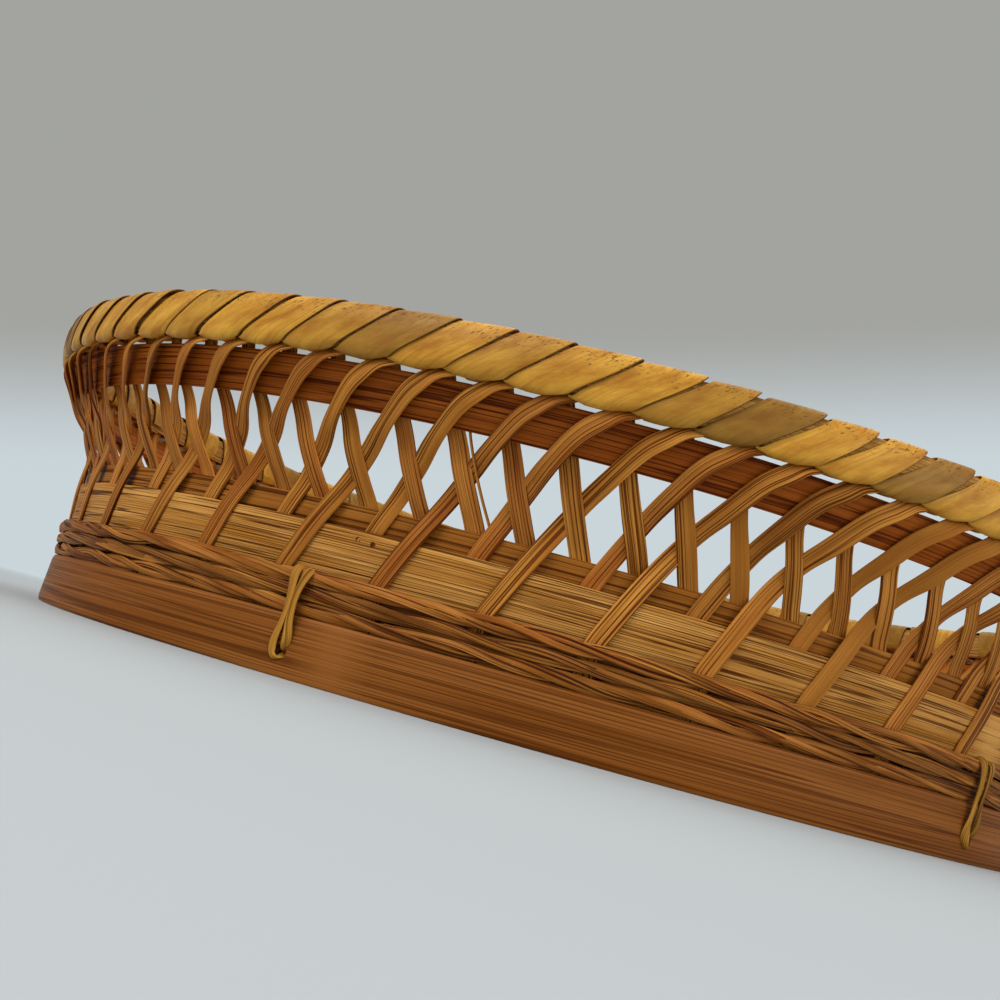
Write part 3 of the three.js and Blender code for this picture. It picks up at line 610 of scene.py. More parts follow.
SLIVER_TURN = 1
SLIVER_WIDTH = 0.5
SLIVER_THICK = 0.25
SLIVER_APART = 0.34
SLIVER_LEAN = 0.04
# Heights and depths of the sliver.
SLIVER_STEPS = (
    (NARROW_TOP - 1.5, -SIDE_DEPTH),
    (NARROW_TOP + 1.5, -0.2),
    (NARROW_TOP + 5, 1.3),
    (UPPER_BOTTOM - 6, 1.5),
    (UPPER_BOTTOM - 0.5, 0.2),
    (UPPER_BOTTOM + 1.5, -SIDE_DEPTH),
)


def forward_turn(z, shift):
    """Turn of a forward strand at a height, counted from its own root."""
    open_share = share_of(z, NARROW_TOP, UPPER_BOTTOM)
    high_share = (min(max(z, UPPER_BOTTOM), RIM_UNDER) - UPPER_BOTTOM) / UPPER_HEIGHT
    low = FORWARD_LOW - FORWARD_LEAN * (1 - share_of(z, WALE_TOP, NARROW_TOP))
    opened = FORWARD_OPEN * ((1 - LATE_LEAN) * open_share + LATE_LEAN * open_share**2)
    sag = FORWARD_SAG * max(open_share - SAG_START, 0) / (1 - SAG_START)
    high = FORWARD_UPPER * high_share + FORWARD_SWEEP * high_share**SWEEP_POWER
    in_rim = RIM_LEAN * max(z - RIM_UNDER, 0)
    return low + opened - sag + high + in_rim + shift * (1 - open_share)


def outer_turn(z):
    """Turn of an outer strand, over the wide band."""
    return forward_turn(z, 0)


def middle_turn(z):
    """Turn of a middle strand, which starts a little further on, behind the wide band."""
    return forward_turn(z, MIDDLE_SHIFT)


def backward_turn(z):
    """Turn of a backward strand, counted from the forward strand that it meets at the upper band."""
    low = BACKWARD_LOW * (1 - share_of(z, WALE_TOP, NARROW_TOP))
    opened = BACKWARD_OPEN * (1 - share_of(z, NARROW_TOP, UPPER_BOTTOM))
    high = BACKWARD_UPPER * max(z - UPPER_BOTTOM, 0) / UPPER_HEIGHT
    return FORWARD_LOW + FORWARD_OPEN + opened + low - high


def sliver_turn(z):
    """Turn of the loose sliver, beside the backward strand that it has split off."""
    return backward_turn(z) + SLIVER_APART + SLIVER_LEAN * (UPPER_BOTTOM - z) / OPEN_HEIGHT


def crossing_half(z, shift):
    """Half the height over which two crossing strands lie on each other."""
    run = math.hypot(1, wall_slope(z))
    rate = PITCH * wall_radius(z) / (OPEN_HEIGHT * run)
    lean = (math.atan((FORWARD_OPEN - shift) * rate) + math.atan(BACKWARD_OPEN * rate)) / 2
    return (STRAND_WIDTH / 2 / math.tan(lean) + FIT) * math.cos(lean) / run


def upper_path(shift, side_depth, cross_depth, bulge=0.0):
    """Heights and depths of a strand from the crossing, past the upper band, into the rim."""
    middle = UPPER_BOTTOM - OPEN_HEIGHT / (FORWARD_OPEN + BACKWARD_OPEN - shift)
    half = crossing_half(middle, shift)
    start = max(UPPER_BOTTOM - crossing_half(UPPER_BOTTOM, 0), middle + half + FIT)
    crossing = [(middle - half, cross_depth), (middle + half, cross_depth), (start, side_depth)]
    bulging = [(z, side_depth + share * bulge) for z, share in BULGE_STEPS]
    return crossing + bulging + [(STRAND_END, math.copysign(END_DEPTH, side_depth))]


def outer_steps():
    """Heights and depths of an outer strand, which passes outside the wide band."""
    lower = [
        (STRAND_START, OUTER_ROOT),
        (WALE_TOP + FIT, OUTER_ROOT),
        (WIDE_BOTTOM - FIT, ON_WIDE),
        (WIDE_TOP, ON_WIDE),
    ]
    return lower + upper_path(0, ON_BAND, CROSS_BEHIND, BULGE)


def middle_steps():
    """Heights and depths of a middle strand, between the wide and the narrow band."""
    lower = [(STRAND_START, SIDE_DEPTH), (NARROW_BOTTOM, ON_BAND), (NARROW_TOP, ON_BAND)]
    return lower + upper_path(MIDDLE_SHIFT, ON_BAND, CROSS_BEHIND, BULGE)


def inner_steps(shift):
    """Heights and depths of an inner strand, inside the bands and outside the strands that it crosses."""
    lower = [(STRAND_START, BACK_ROOT), (WALE_TOP, -SIDE_DEPTH), (NARROW_TOP, -ON_BAND)]
    return lower + upper_path(shift, -ON_BAND, CROSS_BEFORE)


def strand(turn, steps, turn_at, width=STRAND_WIDTH, thick=STRAND_THICK, narrowing=0.0, twist=0.0):
    """One strand of the wall, bent smoothly through its steps, with a little drift of its own."""
    path = [(turn + turn_at(z), *wall(z, depth)) for z, depth in steps]
    path = evenly(rounded(path, STRAND_ROUNDS), STRAND_STEP)
    radius = path[:, 1]
    height = path[:, 2]
    drift = chance.uniform(-STRAND_DRIFT, STRAND_DRIFT)
    phase = chance.uniform(0, 2 * math.pi)
    free = np.sin((height - ROOT_TOP) / (STRAND_END - ROOT_TOP) * math.pi)
    wander = drift * free + STRAND_WAVE * np.sin(height / WAVE_RADIAN + phase) * free
    angle = FIRST_STRAND + (path[:, 0] + wander) * PITCH
    middle = round_about(angle, radius, height)
    along = unit(np.gradient(middle, axis=0))
    side, face = squared(round_about(angle, np.gradient(height), -np.gradient(radius)), along)
    # Towards the rim a forward strand twists and keeps its inner edge in place, and an inner one narrows.
    high = np.clip((path[:, 2:] - BEND_END) / (UPPER_BOTTOM - BEND_END), 0, 1)
    wide = width * chance.uniform(*WIDTH_RANGE) * (1 - narrowing * high)
    turned = twist * high**2 * (3 - 2 * high)
    middle = middle + face * np.sin(turned) * wide / 2
    flat = side * np.cos(turned) - face * np.sin(turned)
    front = face * np.cos(turned) + side * np.sin(turned)
    return sweep(middle, flat * wide / 2, front * thick / 2, SPLINT, chance.uniform())


def loose_sliver():
    """A sliver that has split off one inner strand and hangs before the wall."""
    return strand(SLIVER_TURN, SLIVER_STEPS, sliver_turn, SLIVER_WIDTH, SLIVER_THICK)


def root(left, right, depth):
    """The whole part of a slat, inside the foot, from which its strands are split."""
    angle = FIRST_STRAND + PITCH * np.linspace(left, right, ROOT_POINTS)
    middle = round_about(angle, FOOT_RADIUS + depth, (ROOT_BOTTOM + ROOT_TOP) / 2)
    side = np.tile([0, 0, (ROOT_TOP - ROOT_BOTTOM) / 2], (ROOT_POINTS, 1))
    face = outward(middle) * STRAND_THICK / 2
    return sweep(middle, side, face, SPLINT, chance.uniform())


# Slats that rise to the right: depth of the root, place of the first strand, and the strands' steps and turn.
FORWARD_KINDS = (
    ("outer", OUTER_ROOT, 2, outer_steps(), outer_turn),
    ("middle", SIDE_DEPTH, 1, middle_steps(), middle_turn),
)


def wall_slats():
    """Slats of the wall, sector by sector: seven strands on each root."""
    slit = ROOT_SLIT / (FOOT_RADIUS * PITCH)
    back_start = math.ceil(TIE_PLACE - backward_turn(ROOT_TOP))
    for sector in range(TIES):
        start = sector * STRANDS_PER_TIE
        left = start + TIE_PLACE + slit
        right = start + STRANDS_PER_TIE + TIE_PLACE - slit
        label = sector + 1

        for kind, depth, first, steps, turn_at in FORWARD_KINDS:
            parts = [root(left, right, depth)]
            for number in range(STRANDS_PER_SLAT):
                turn = start + first + 2 * number
                parts.append(strand(turn, steps, turn_at, twist=FORWARD_TWIST))
            piece(f"{kind}_slat_{label}", parts, strand_bamboo, "splint", f"{kind}_splint_{label}")

        seam = start + back_start + STRANDS_PER_SLAT + backward_turn(ROOT_TOP) - 0.5
        halves = ((left, seam - slit / 4), (seam + slit / 4, right))
        for half, (begin, end) in enumerate(halves):
            parts = [root(begin, end, BACK_ROOT)]
            for number in range(STRANDS_PER_SLAT):
                turn = start + back_start + half * STRANDS_PER_SLAT + number
                shift = 0 if (turn + 1) % 2 == 0 else MIDDLE_SHIFT
                narrowing = chance.uniform(0, INNER_NARROWING)
                parts.append(strand(turn, inner_steps(shift), backward_turn, narrowing=narrowing))
                if turn == SLIVER_TURN:
                    parts.append(loose_sliver())
            label = 2 * sector + half + 1
            piece(f"inner_slat_{label}", parts, strand_bamboo, "splint", f"inner_splint_{label}")


# Bands and foot

HOOP_STEPS = 6 * STRANDS
BAND_BEVEL = 0.2
WIDE_BEVEL = 0.22
FOOT_BEVEL = 0.3
INNER_FOOT_BEVEL = 0.4
# The wide band comes down to the wale, and the upper band tucks under the rim.
WIDE_GAP = 0.1
UPPER_TUCK = 0.4
# How far the wide band gives way under a strand, and its slow bulges round the tray.
WIDE_GIVE = 0.13
WIDE_SWELL = 0.05
WIDE_SWELLS = 5
# Insect holes in the wide band: degrees round the tray, height and radius.
INSECT_HOLES = ((-106.3, 27.1, 0.5), (-105.0, 26.8, 0.52))
# Holes of the ties in the foot band, and the drill that cuts every hole.
HOLE_LEVEL = 4.4
HOLE_RADIUS = 1.45
DRILL_SIDES = 24
DRILL_LENGTH = 8.0
# Wear of the foot band: how far its lower edge is worn in and how high, how far it swells below its top
# edge and how far down, and how far that edge is worn in.
FOOT_WEAR = 0.25
FOOT_WEAR_HEIGHT = 1.2
FOOT_SWELL = 0.1
FOOT_SWELL_DROP = 1.0
FOOT_TOP_WEAR = 0.3

tie_angles = [FIRST_STRAND + PITCH * (index * STRANDS_PER_TIE + TIE_PLACE) for index in range(TIES)]


def soft_outline(corners, bevel):
    """A closed outline of radius and height with its corners rounded."""
    corners = np.asarray(corners, float)
    made = []
    for index, corner in enumerate(corners):
        before = corners[index - 1] - corner
        after = corners[(index + 1) % len(corners)] - corner
        start = corner + before / np.linalg.norm(before) * bevel
        end = corner + after / np.linalg.norm(after) * bevel
        for share in CORNER_SHARES:
            made.append((1 - share) ** 2 * start + 2 * share * (1 - share) * corner + share**2 * end)
    return np.array(made)


def hoop(outline, wave=None):
    """A hoop turned from an outline; wave moves its points outward by angle and height."""
    outline = outline[::-1]
    angle = np.linspace(0, 2 * math.pi, HOOP_STEPS, endpoint=False)[:, None]
    radius = outline[None, :, 0] + 0 * angle
    height = outline[None, :, 1] + 0 * angle
    if wave is not None:
        radius = radius + wave(angle, height)
    sections = round_about(angle + 0 * radius, radius, height)
    grain = np.stack([height, angle * FOOT_RADIUS + 0 * height, 0 * height], axis=-1)
    return Part(sections, grain, grain, ring=True)


def band_outline(bottom, top, inside, outside, bevel):
    """Outline of a band that follows the wall."""
    corners = [wall(bottom, inside), wall(bottom, outside), wall(top, outside), wall(top, inside)]
    return soft_outline(corners, bevel)


def drill(target, angle, reach, level, radius):
    """A round hole through a hoop, cut along a radius of the tray."""
    bpy.ops.mesh.primitive_cylinder_add(vertices=DRILL_SIDES, radius=radius * MM, depth=DRILL_LENGTH * MM)
    cutter = bpy.context.object
    out = Vector((math.cos(angle), math.sin(angle), 0))
    turned = out.to_track_quat("Z", "Y").to_matrix().to_4x4()
    cutter.matrix_world = Matrix.Translation((out * reach + Vector((0, 0, level))) * MM) @ turned
    cut = target.modifiers.new("cut", "BOOLEAN")
    cut.operation = "DIFFERENCE"
    cut.object = cutter
    cut.solver = "EXACT"
    bpy.context.view_layer.objects.active = target
    bpy.ops.object.modifier_apply(modifier=cut.name)
    bpy.data.objects.remove(cutter)
    target.data.set_sharp_from_angle(angle=SHARP_ANGLE)


def wide_wave(angle, height):
    """The wide band gives way under the strands that cross it, and bulges between them."""
    turn = (angle - FIRST_STRAND) / PITCH
    low = FORWARD_LOW - FORWARD_LEAN * (NARROW_TOP - height) / (NARROW_TOP - WALE_TOP)
    return -WIDE_GIVE * np.cos(math.pi * (turn - low)) + WIDE_SWELL * np.sin(WIDE_SWELLS * angle + 1)


def bands():
    """The three bands of the wall."""
    half = BAND_THICK / 2
    outline = band_outline(WALE_TOP + WIDE_GAP, WIDE_TOP, WIDE_DEPTH - half, WIDE_DEPTH + half, WIDE_BEVEL)
    wide = piece("wide_hoop", [hoop(outline, wide_wave)], wide_bamboo, "wide_band", "wide_band")
    for degrees, level, radius in INSECT_HOLES:
        drill(wide, math.radians(degrees), wall_radius(level) + WIDE_DEPTH, level, radius)
    outline = band_outline(NARROW_BOTTOM, NARROW_TOP, -half, half, BAND_BEVEL)
    piece("narrow_hoop", [hoop(outline)], narrow_bamboo, "narrow_band", "narrow_band")
    outline = band_outline(UPPER_BOTTOM, UPPER_TOP + UPPER_TUCK, -half, half, BAND_BEVEL)
    piece("upper_hoop", [hoop(outline)], upper_bamboo, "upper_band", "upper_band")


def foot():
    """Foot band with its tie holes, and the hoop inside the roots."""
    spread = FOOT_RADIUS + FOOT_SPREAD
    corners = [
        (spread + FOOT_DEPTH, 0),
        (spread + FOOT_OUTSIDE - FOOT_WEAR, 0),
        (spread + FOOT_OUTSIDE, FOOT_WEAR_HEIGHT),
        (FOOT_RADIUS + FOOT_OUTSIDE + FOOT_SWELL, FOOT_TOP - FOOT_SWELL_DROP),
        (FOOT_RADIUS + FOOT_OUTSIDE - FOOT_TOP_WEAR, FOOT_TOP),
        (FOOT_RADIUS + FOOT_DEPTH, FOOT_TOP),
    ]
    band = piece("foot_ring", [hoop(soft_outline(corners, FOOT_BEVEL))], foot_bamboo, "foot", "foot_band")
    for angle in tie_angles:
        drill(band, angle, FOOT_RADIUS + FOOT_OUTSIDE, HOLE_LEVEL, HOLE_RADIUS)
    inside = INNER_HOOP_DEPTH - INNER_HOOP_THICK
    corners = [
        (spread + inside, FIT),
        (spread + INNER_HOOP_DEPTH, FIT),
        (FOOT_RADIUS + INNER_HOOP_DEPTH, ROOT_TOP),
        (FOOT_RADIUS + inside, ROOT_TOP),
    ]
    outline = soft_outline(corners, INNER_FOOT_BEVEL)
    piece("inner_foot_ring", [hoop(outline)], hoop_bamboo, "hoop", "foot_inner_hoop")


# Wale and ties

# Wale: twists round the tray in each row, the rise from row to row, and a row's middle above its bottom.
WALE_TWISTS = (20, 18, 21)
WALE_RISE = 2.75
WALE_MIDDLE = 1.2
# A splint of the wale: depth outside the foot band's inner face, swing up and down, sway in and out, how
# far its face tips as it swings, and half its width and thickness.
WALE_DEPTH = 0.75
WALE_SWING = 0.76
WALE_SWAY = 0.36
WALE_TIP = 0.3
WALE_HALF_WIDTH = 0.66
WALE_HALF_THICK = 0.28
WALE_POINTS = 960
# Its unevenness: size, waves round the tray, and how much the splint's seed shifts them.
SLOW_TWIST = (0.6, 5, 9)
QUICK_TWIST = (0.35, 17, 31)
RISE_AND_FALL = (0.12, 9, 40)
WIDE_AND_NARROW = (0.12, 4, 23)
# Cut ends that stand out of a row: their number, length, rise, depth, lift, half width and thickness,
# taper, and the range of their tones.
LOOSE_ENDS = 5
END_LENGTH = 11.0
END_RISE = 0.5
END_START = 0.7
END_LIFT = 0.55
END_HALF_WIDTH = 0.6
END_HALF_THICK = 0.26
END_TAPER = 0.6
END_TONES = (0.7, 1)
END_POINTS = 14
# The splint behind the wale's top: its height, its depths and its rounding.
PACKING_HEIGHT = 3.0
PACKING_INSIDE = 1.35
PACKING_OUTSIDE = 1.7
PACKING_BEVEL = 0.1
# Steps of a tie's loop: to the right, outward from the wall's middle, and up.
TIE_STEPS = (
    (2.1, 3.4, 20.0), (2.0, 4.9, 18.9), (0.8, 5.4, 14.8), (0.6, 5.3, 10.5), (1.2, 5.0, 7.4),
    (0.9, 4.4, 5.6), (0.4, 3.0, 4.9), (0.1, 1.6, 5.0), (0.0, 1.4, 11.0), (-0.3, 1.5, 18.0),
    (-0.6, 2.6, 20.2), (-0.9, 4.9, 19.3), (-0.5, 5.2, 14.8), (-0.9, 5.0, 9.5), (-1.7, 4.9, 6.4),
    (-1.6, 4.8, 4.2), (-0.7, 4.6, 3.0), (0.0, 3.2, 3.7), (0.2, 2.0, 4.6), (0.3, 2.0, 11.0),
    (0.7, 2.0, 18.0),
)
# A tie: half its width and thickness, how unevenly its limbs spread, the depth and height of the point that
# its flat side faces away from, how square it keeps to that, and its twists.
TIE_HALF_WIDTH = 0.86
TIE_HALF_THICK = 0.38
TIE_SPREAD = 0.25
TIE_HEART_DEPTH = 3.3
TIE_HEART_HEIGHT = 11.5
TIE_SQUARENESS = 0.7
TIE_TWIST = 0.5
TIE_TWISTS = 4
TIE_PHASES = 6


def wale_radius(level, depth):
    """Radius at a depth outside the foot band's inner face, leaning with the wall."""
    return FOOT_RADIUS + LOWER_SLOPE * (level - ROOT_TOP) + FOOT_DEPTH + depth


def uneven(angle, seed, size, waves, shift):
    """A wave that closes on itself round the tray, in a place of the splint's own."""
    return size * np.sin(waves * angle + shift * seed)


def twisted_splint(level, phase, twists, seed):
    """One splint of a wale row, which winds round its fellows in long uneven turns."""
    angle = np.linspace(0, 2 * math.pi, WALE_POINTS, endpoint=False)
    turn = twists * angle + phase + uneven(angle, seed, *SLOW_TWIST) + uneven(angle, seed, *QUICK_TWIST)
    height = level + WALE_SWING * np.cos(turn) + uneven(angle, seed, *RISE_AND_FALL)
    radius = wale_radius(level, WALE_DEPTH + WALE_SWAY * np.sin(turn))
    middle = round_about(angle, radius, height)
    tipped = outward(middle) + np.array([0, 0, WALE_TIP]) * np.cos(turn)[:, None]
    side, face = squared(tipped, ring_way(middle))
    wide = WALE_HALF_WIDTH + uneven(angle, seed, *WIDE_AND_NARROW)
    return sweep(middle, side * wide[:, None], face * WALE_HALF_THICK, SPLINT, seed, ring=True)


def splint_end(level, angle):
    """A splint's cut end that stands a little out of the wale."""
    share = np.linspace(0, 1, END_POINTS)
    way = angle + END_LENGTH * share / FOOT_RADIUS
    radius = wale_radius(level, END_START + END_LIFT * share**2)
    middle = round_about(way, radius, level + END_RISE * share)
    side, face = squared(outward(middle), unit(np.gradient(middle, axis=0)))
    taper = (1 - END_TAPER * share**3)[:, None]
    flat = side * END_HALF_WIDTH * taper
    return sweep(middle, flat, face * END_HALF_THICK * taper, SPLINT, chance.uniform(*END_TONES))


def packing():
    """A thin splint behind the wale's top, which fills the slit under the wide band."""
    low = WALE_TOP - PACKING_HEIGHT
    return hoop(band_outline(low, WALE_TOP, PACKING_INSIDE, PACKING_OUTSIDE, PACKING_BEVEL))


def wale():
    """Rows of thin splints twisted together in fours, laid on the foot band."""
    for row, twists in enumerate(WALE_TWISTS):
        level = WALE_BOTTOM + row * WALE_RISE + WALE_MIDDLE
        phase = chance.uniform(0, 2 * math.pi)
        seeds = chance.uniform(size=3)
        # The fourth splint takes its seed from the other three.
        seeds = [*seeds, seeds.sum() % 1]
        splints = []
        for number, seed in enumerate(seeds):
            splints.append(twisted_splint(level, phase + number * 2 * math.pi / len(seeds), twists, seed))
        for angle in chance.uniform(0, 2 * math.pi, LOOSE_ENDS):
            splints.append(splint_end(level, angle))
        if row == len(WALE_TWISTS) - 1:
            splints.append(packing())
        piece(f"wale_twist_{row + 1}", splints, wale_bamboo, "wale", f"wale_row_{row + 1}")


def ties():
    """Cane loops that hold the wale to the foot, twice through each hole."""
    path = rounded(TIE_STEPS, TIE_ROUNDS, ring=True)
    right_by, depth, height = np.hsplit(path, 3)
    reach = FOOT_RADIUS + depth + LOWER_SLOPE * np.maximum(height - ROOT_TOP, 0)
    along_loop = np.linspace(0, TIE_TWISTS * 2 * math.pi, len(path), endpoint=False)[:, None]
    up = np.array([0, 0, 1])
    for index, angle in enumerate(tie_angles):
        out = np.array([math.cos(angle), math.sin(angle), 0])
        right = np.array([-math.sin(angle), math.cos(angle), 0])
        spread = 1 + TIE_SPREAD * chance.uniform(-1, 1)
        middle = out * reach + right * right_by * spread + up * height
        along = ring_way(middle)
        heart = out * (FOOT_RADIUS + TIE_HEART_DEPTH) + up * TIE_HEART_HEIGHT
        face = unit(without(without(middle - heart, along), right, TIE_SQUARENESS))
        side = np.cross(face, along)
        twist = TIE_TWIST * np.sin(along_loop + chance.uniform(0, TIE_PHASES))
        flat = (side * np.cos(twist) + face * np.sin(twist)) * TIE_HALF_WIDTH
        thick = (face * np.cos(twist) - side * np.sin(twist)) * TIE_HALF_THICK
        loop = sweep(middle, flat, thick, OVAL, chance.uniform(), ring=True)
        piece(f"cane_tie_{index + 1}", [loop], tie_cane, "tie", f"tie_{index + 1}")


# Rim

RIM_RADIUS = wall_radius(STRAND_END)
WRAP_COUNT = 4
WINDINGS = STRANDS // WRAP_COUNT
PEEL_THICK = 0.42
# One winding: depth, height, turn in pitches, the peel's least and greatest width, how far an edge lifts,
# and how far both edges curl in.
WRAP_STEPS = (
    (-2.6, 58.05, 0.0, 4.2, 4.2, 0.0, 0.0),
    (0.6, 57.9, 0.0, 4.4, 4.4, 0.0, 0.0),
    (1.6, 57.3, 0.0, 8.6, 9.8, 0.0, 0.5),
    (2.6, 56.8, 0.01, 9.2, 10.7, 0.0, 0.95),
    (3.5, 57.3, 0.06, 8.2, 10.9, 0.3, 0.8),
    (3.95, 59.1, 0.22, 7.8, 11.4, 1.0, 0.25),
    (4.1, 62.2, 0.6, 7.6, 11.6, 1.0, 0.0),
    (3.9, 65.2, 0.92, 7.6, 11.5, 1.0, 0.0),
    (2.7, 66.8, 1.05, 7.8, 11.2, 0.9, 0.0),
    (0.0, 67.1, 1.1, 8.0, 10.2, 0.9, 0.0),
    (-2.4, 66.6, 1.07, 8.2, 8.4, 0.5, 0.0),
    (-3.3, 63.6, 1.03, 7.2, 7.4, 0.0, 0.0),
    (-3.3, 60.0, 1.0, 5.8, 6.0, 0.0, 0.0),
)
# Unevenness of the windings beyond a depth: how far they stand proud, lean along the rim and lift an edge,
# and how rarely they are narrow.
OUTER_FACE = 2.0
PROUD_RANGE = (-0.08, 0.14)
LEAN_RANGE = (-0.05, 0.05)
LIFT_RANGE = (0.15, 0.32)
NARROW_POWER = 3
# Outlines of the rim's two hoops: depth outside the strands' ends, and height.
OUTER_CORE = ((1.4, 58.4), (2.5, 58.4), (3.5, 60.0), (3.75, 62.2), (3.5, 64.8), (2.4, 66.1), (1.0, 66.1))
INNER_CORE = ((-2.4, 58.4), (-1.2, 58.4), (-1.2, 65.7), (-2.0, 65.7), (-2.7, 62.0))
CORE_BEVEL = 0.35


def turn_under(turn_at, side_depth):
    """Turn of a strand where it passes the wrap's underside."""
    height = wall(BAND_EXIT, side_depth)[1]
    share = (RIM_UNDER + WRAP_THICK / 2 - height) / (STRAND_END - height)
    return turn_at(BAND_EXIT) + share * (turn_at(STRAND_END) - turn_at(BAND_EXIT))


def winding(place):
    """Steps of one winding, with a width, stand, lean, lift and tone of its own."""
    low_full, high_full = 1 - chance.uniform(size=2) ** NARROW_POWER
    proud = chance.uniform(*PROUD_RANGE)
    lean = chance.uniform(*LEAN_RANGE)
    lifted = chance.uniform(*LIFT_RANGE)
    seed = chance.uniform()
    steps = []
    for depth, height, turn, least, most, lift, curl in WRAP_STEPS:
        outside = 1 if depth > OUTER_FACE else 0
        full = low_full + (high_full - low_full) * min(turn, 1)
        width = least + (most - least) * full
        turned = place + turn + lean * outside
        steps.append((turned, depth + proud * outside, height, width, lifted * lift, seed, curl))
    return steps


def rim_wraps():
    """Flat peel wound round the rim, once for every strand, in four lengths."""
    forward = turn_under(outer_turn, SIDE_DEPTH)
    backward = turn_under(backward_turn, -SIDE_DEPTH)
    apart = forward - backward - round(forward - backward)
    first = forward - apart / 2 + 0.5
    for wrap in range(WRAP_COUNT):
        steps = []
        for number in range(WINDINGS):
            steps += winding(first + wrap * WINDINGS + number)
        turn, depth, height, width, lift, seed, curl = rounded(steps, WRAP_ROUNDS).T
        angle = FIRST_STRAND + turn * PITCH
        middle = round_about(angle, RIM_RADIUS + depth, height)
        out = np.gradient(height)
        down = -np.gradient(depth)
        size = np.hypot(out, down)
        face = round_about(angle, out / size, down / size)
        side = round_about(angle - math.pi / 2, width / 2, 0) - face * lift[:, None]
        wound = sweep(middle, side, face * PEEL_THICK / 2, PEEL, seed)
        curled = curl[:, None] * PEEL[:, 0] ** 2
        wound.sections -= curled[..., None] * face[:, None]
        piece(f"peel_winding_{wrap + 1}", [wound], peel, "rim_wrap", f"rim_wrap_{wrap + 1}")


def rim_core():
    """The two hoops inside the rim, with the strands' ends between them."""
    outline = soft_outline([(RIM_RADIUS + depth, height) for depth, height in OUTER_CORE], CORE_BEVEL)
    piece("rim_core_outside", [hoop(outline)], core_cane, "rim_core", "rim_outer_hoop")
    outline = soft_outline([(RIM_RADIUS + depth, height) for depth, height in INNER_CORE], CORE_BEVEL)
    piece("rim_core_inside", [hoop(outline)], core_cane, "rim_core", "rim_inner_hoop")


# Floor of the tray

MAT_MIDDLE = 13.0
MAT_RADIUS = 127.85
MAT_STRIPS = 48
STRIP_STEP = 2 * MAT_RADIUS / MAT_STRIPS
STRIP_GAP = 0.5
STRIP_WIDTH = STRIP_STEP - STRIP_GAP
STRIP_THICK = 0.5
STRIP_SWING = 0.4
# Half the flat at a crossing, as a share of the step from strip to strip.
STRIP_FLAT = 0.36
# Points of the cut ends closer than this are one.
SAME_POINT = 0.001
# Hoop on the floor's edge: levels, thickness at foot and top, flare, rounding, and how far it presses out.
FLOOR_HOOP_BOTTOM = 14.1
FLOOR_HOOP_TOP = 17.0
FLOOR_HOOP_THICK = 1.5
FLOOR_HOOP_TOP_THICK = 1.6
FLOOR_HOOP_FLARE = 0.3
FLOOR_HOOP_BEVEL = 0.45
FLOOR_HOOP_PRESS = 0.2
SLAT_POINTS = 60


def strip(number, lengthwise):
    """One strip of the plaited floor, over two and under two, with its ends cut to the floor's round."""
    offset = (number + 0.5) * STRIP_STEP - MAT_RADIUS
    flat = STRIP_FLAT * STRIP_STEP
    steps = []
    for crossing in range(-1, MAT_STRIPS + 1):
        middle = (crossing + 0.5) * STRIP_STEP - MAT_RADIUS
        over = (crossing + number) % 4 < 2
        level = MAT_MIDDLE + (STRIP_SWING if over == lengthwise else -STRIP_SWING)
        steps += [(middle - flat, level), (middle + flat, level)]
    path = rounded(steps, STRIP_ROUNDS)
    profile = STRIP if not lengthwise else STRIP * [-1, 1]
    across = offset + profile[None, :, 0] * STRIP_WIDTH / 2
    limit = np.sqrt(MAT_RADIUS**2 - across**2)
    along = np.clip(path[:, :1], -limit, limit)
    level = np.interp(along, path[:, 0], path[:, 1]) + profile[None, :, 1] * STRIP_THICK / 2
    across = across + 0 * along
    run = [across, along] if lengthwise else [along, across]
    seed = np.full(along.shape, chance.uniform())
    grain = np.stack([across - offset, along, seed], axis=-1)
    return Part(np.stack([*run, level], axis=-1), grain, grain)


def plaited_floor():
    """Plait of strips both ways, cut to a round."""
    strips = []
    for number in range(MAT_STRIPS):
        strips.append(strip(number, True))
        strips.append(strip(number, False))
    plait = piece("plaited_floor", strips, mat_bamboo, "floor", "base_mat")
    trimmed = bmesh.new()
    trimmed.from_mesh(plait.data)
    bmesh.ops.remove_doubles(trimmed, verts=trimmed.verts, dist=SAME_POINT * MM)
    trimmed.to_mesh(plait.data)
    trimmed.free()
    plait.data.set_sharp_from_angle(angle=SHARP_ANGLE)


def floor_hoop():
    """Hoop that holds down the floor's edge inside the wall."""
    outside = FOOT_RADIUS - SIDE_DEPTH - STRAND_THICK / 2 - FIT + FLOOR_HOOP_PRESS
    top = outside + FLOOR_HOOP_FLARE
    corners = [
        (outside - FLOOR_HOOP_THICK, FLOOR_HOOP_BOTTOM),
        (outside, FLOOR_HOOP_BOTTOM),
        (top, FLOOR_HOOP_TOP),
        (top - FLOOR_HOOP_TOP_THICK, FLOOR_HOOP_TOP),
    ]
    piece("floor_ring", [hoop(soft_outline(corners, FLOOR_HOOP_BEVEL))], hoop_bamboo, "hoop", "base_hoop")


def floor_slats():
    """Two slats that stiffen the floor from below."""
    for number in (1, 2):
        low, high = (np.array(corner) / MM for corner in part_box(f"base_brace_{number}"))
        half = (high - low) / 2
        middle = np.tile((low + high) / 2, (SLAT_POINTS, 1))
        middle[:, 0] = np.linspace(low[0], high[0], SLAT_POINTS)
        side = np.tile([0, half[1], 0], (SLAT_POINTS, 1))
        face = np.tile([0, 0, half[2]], (SLAT_POINTS, 1))
        slat = sweep(middle, side, face, SPLINT, chance.uniform())
        piece(f"floor_slat_{number}", [slat], mat_bamboo, "brace", f"base_brace_{number}")


wall_slats()
bands()
foot()
wale()
ties()
rim_core()
rim_wraps()
plaited_floor()
floor_hoop()
floor_slats()

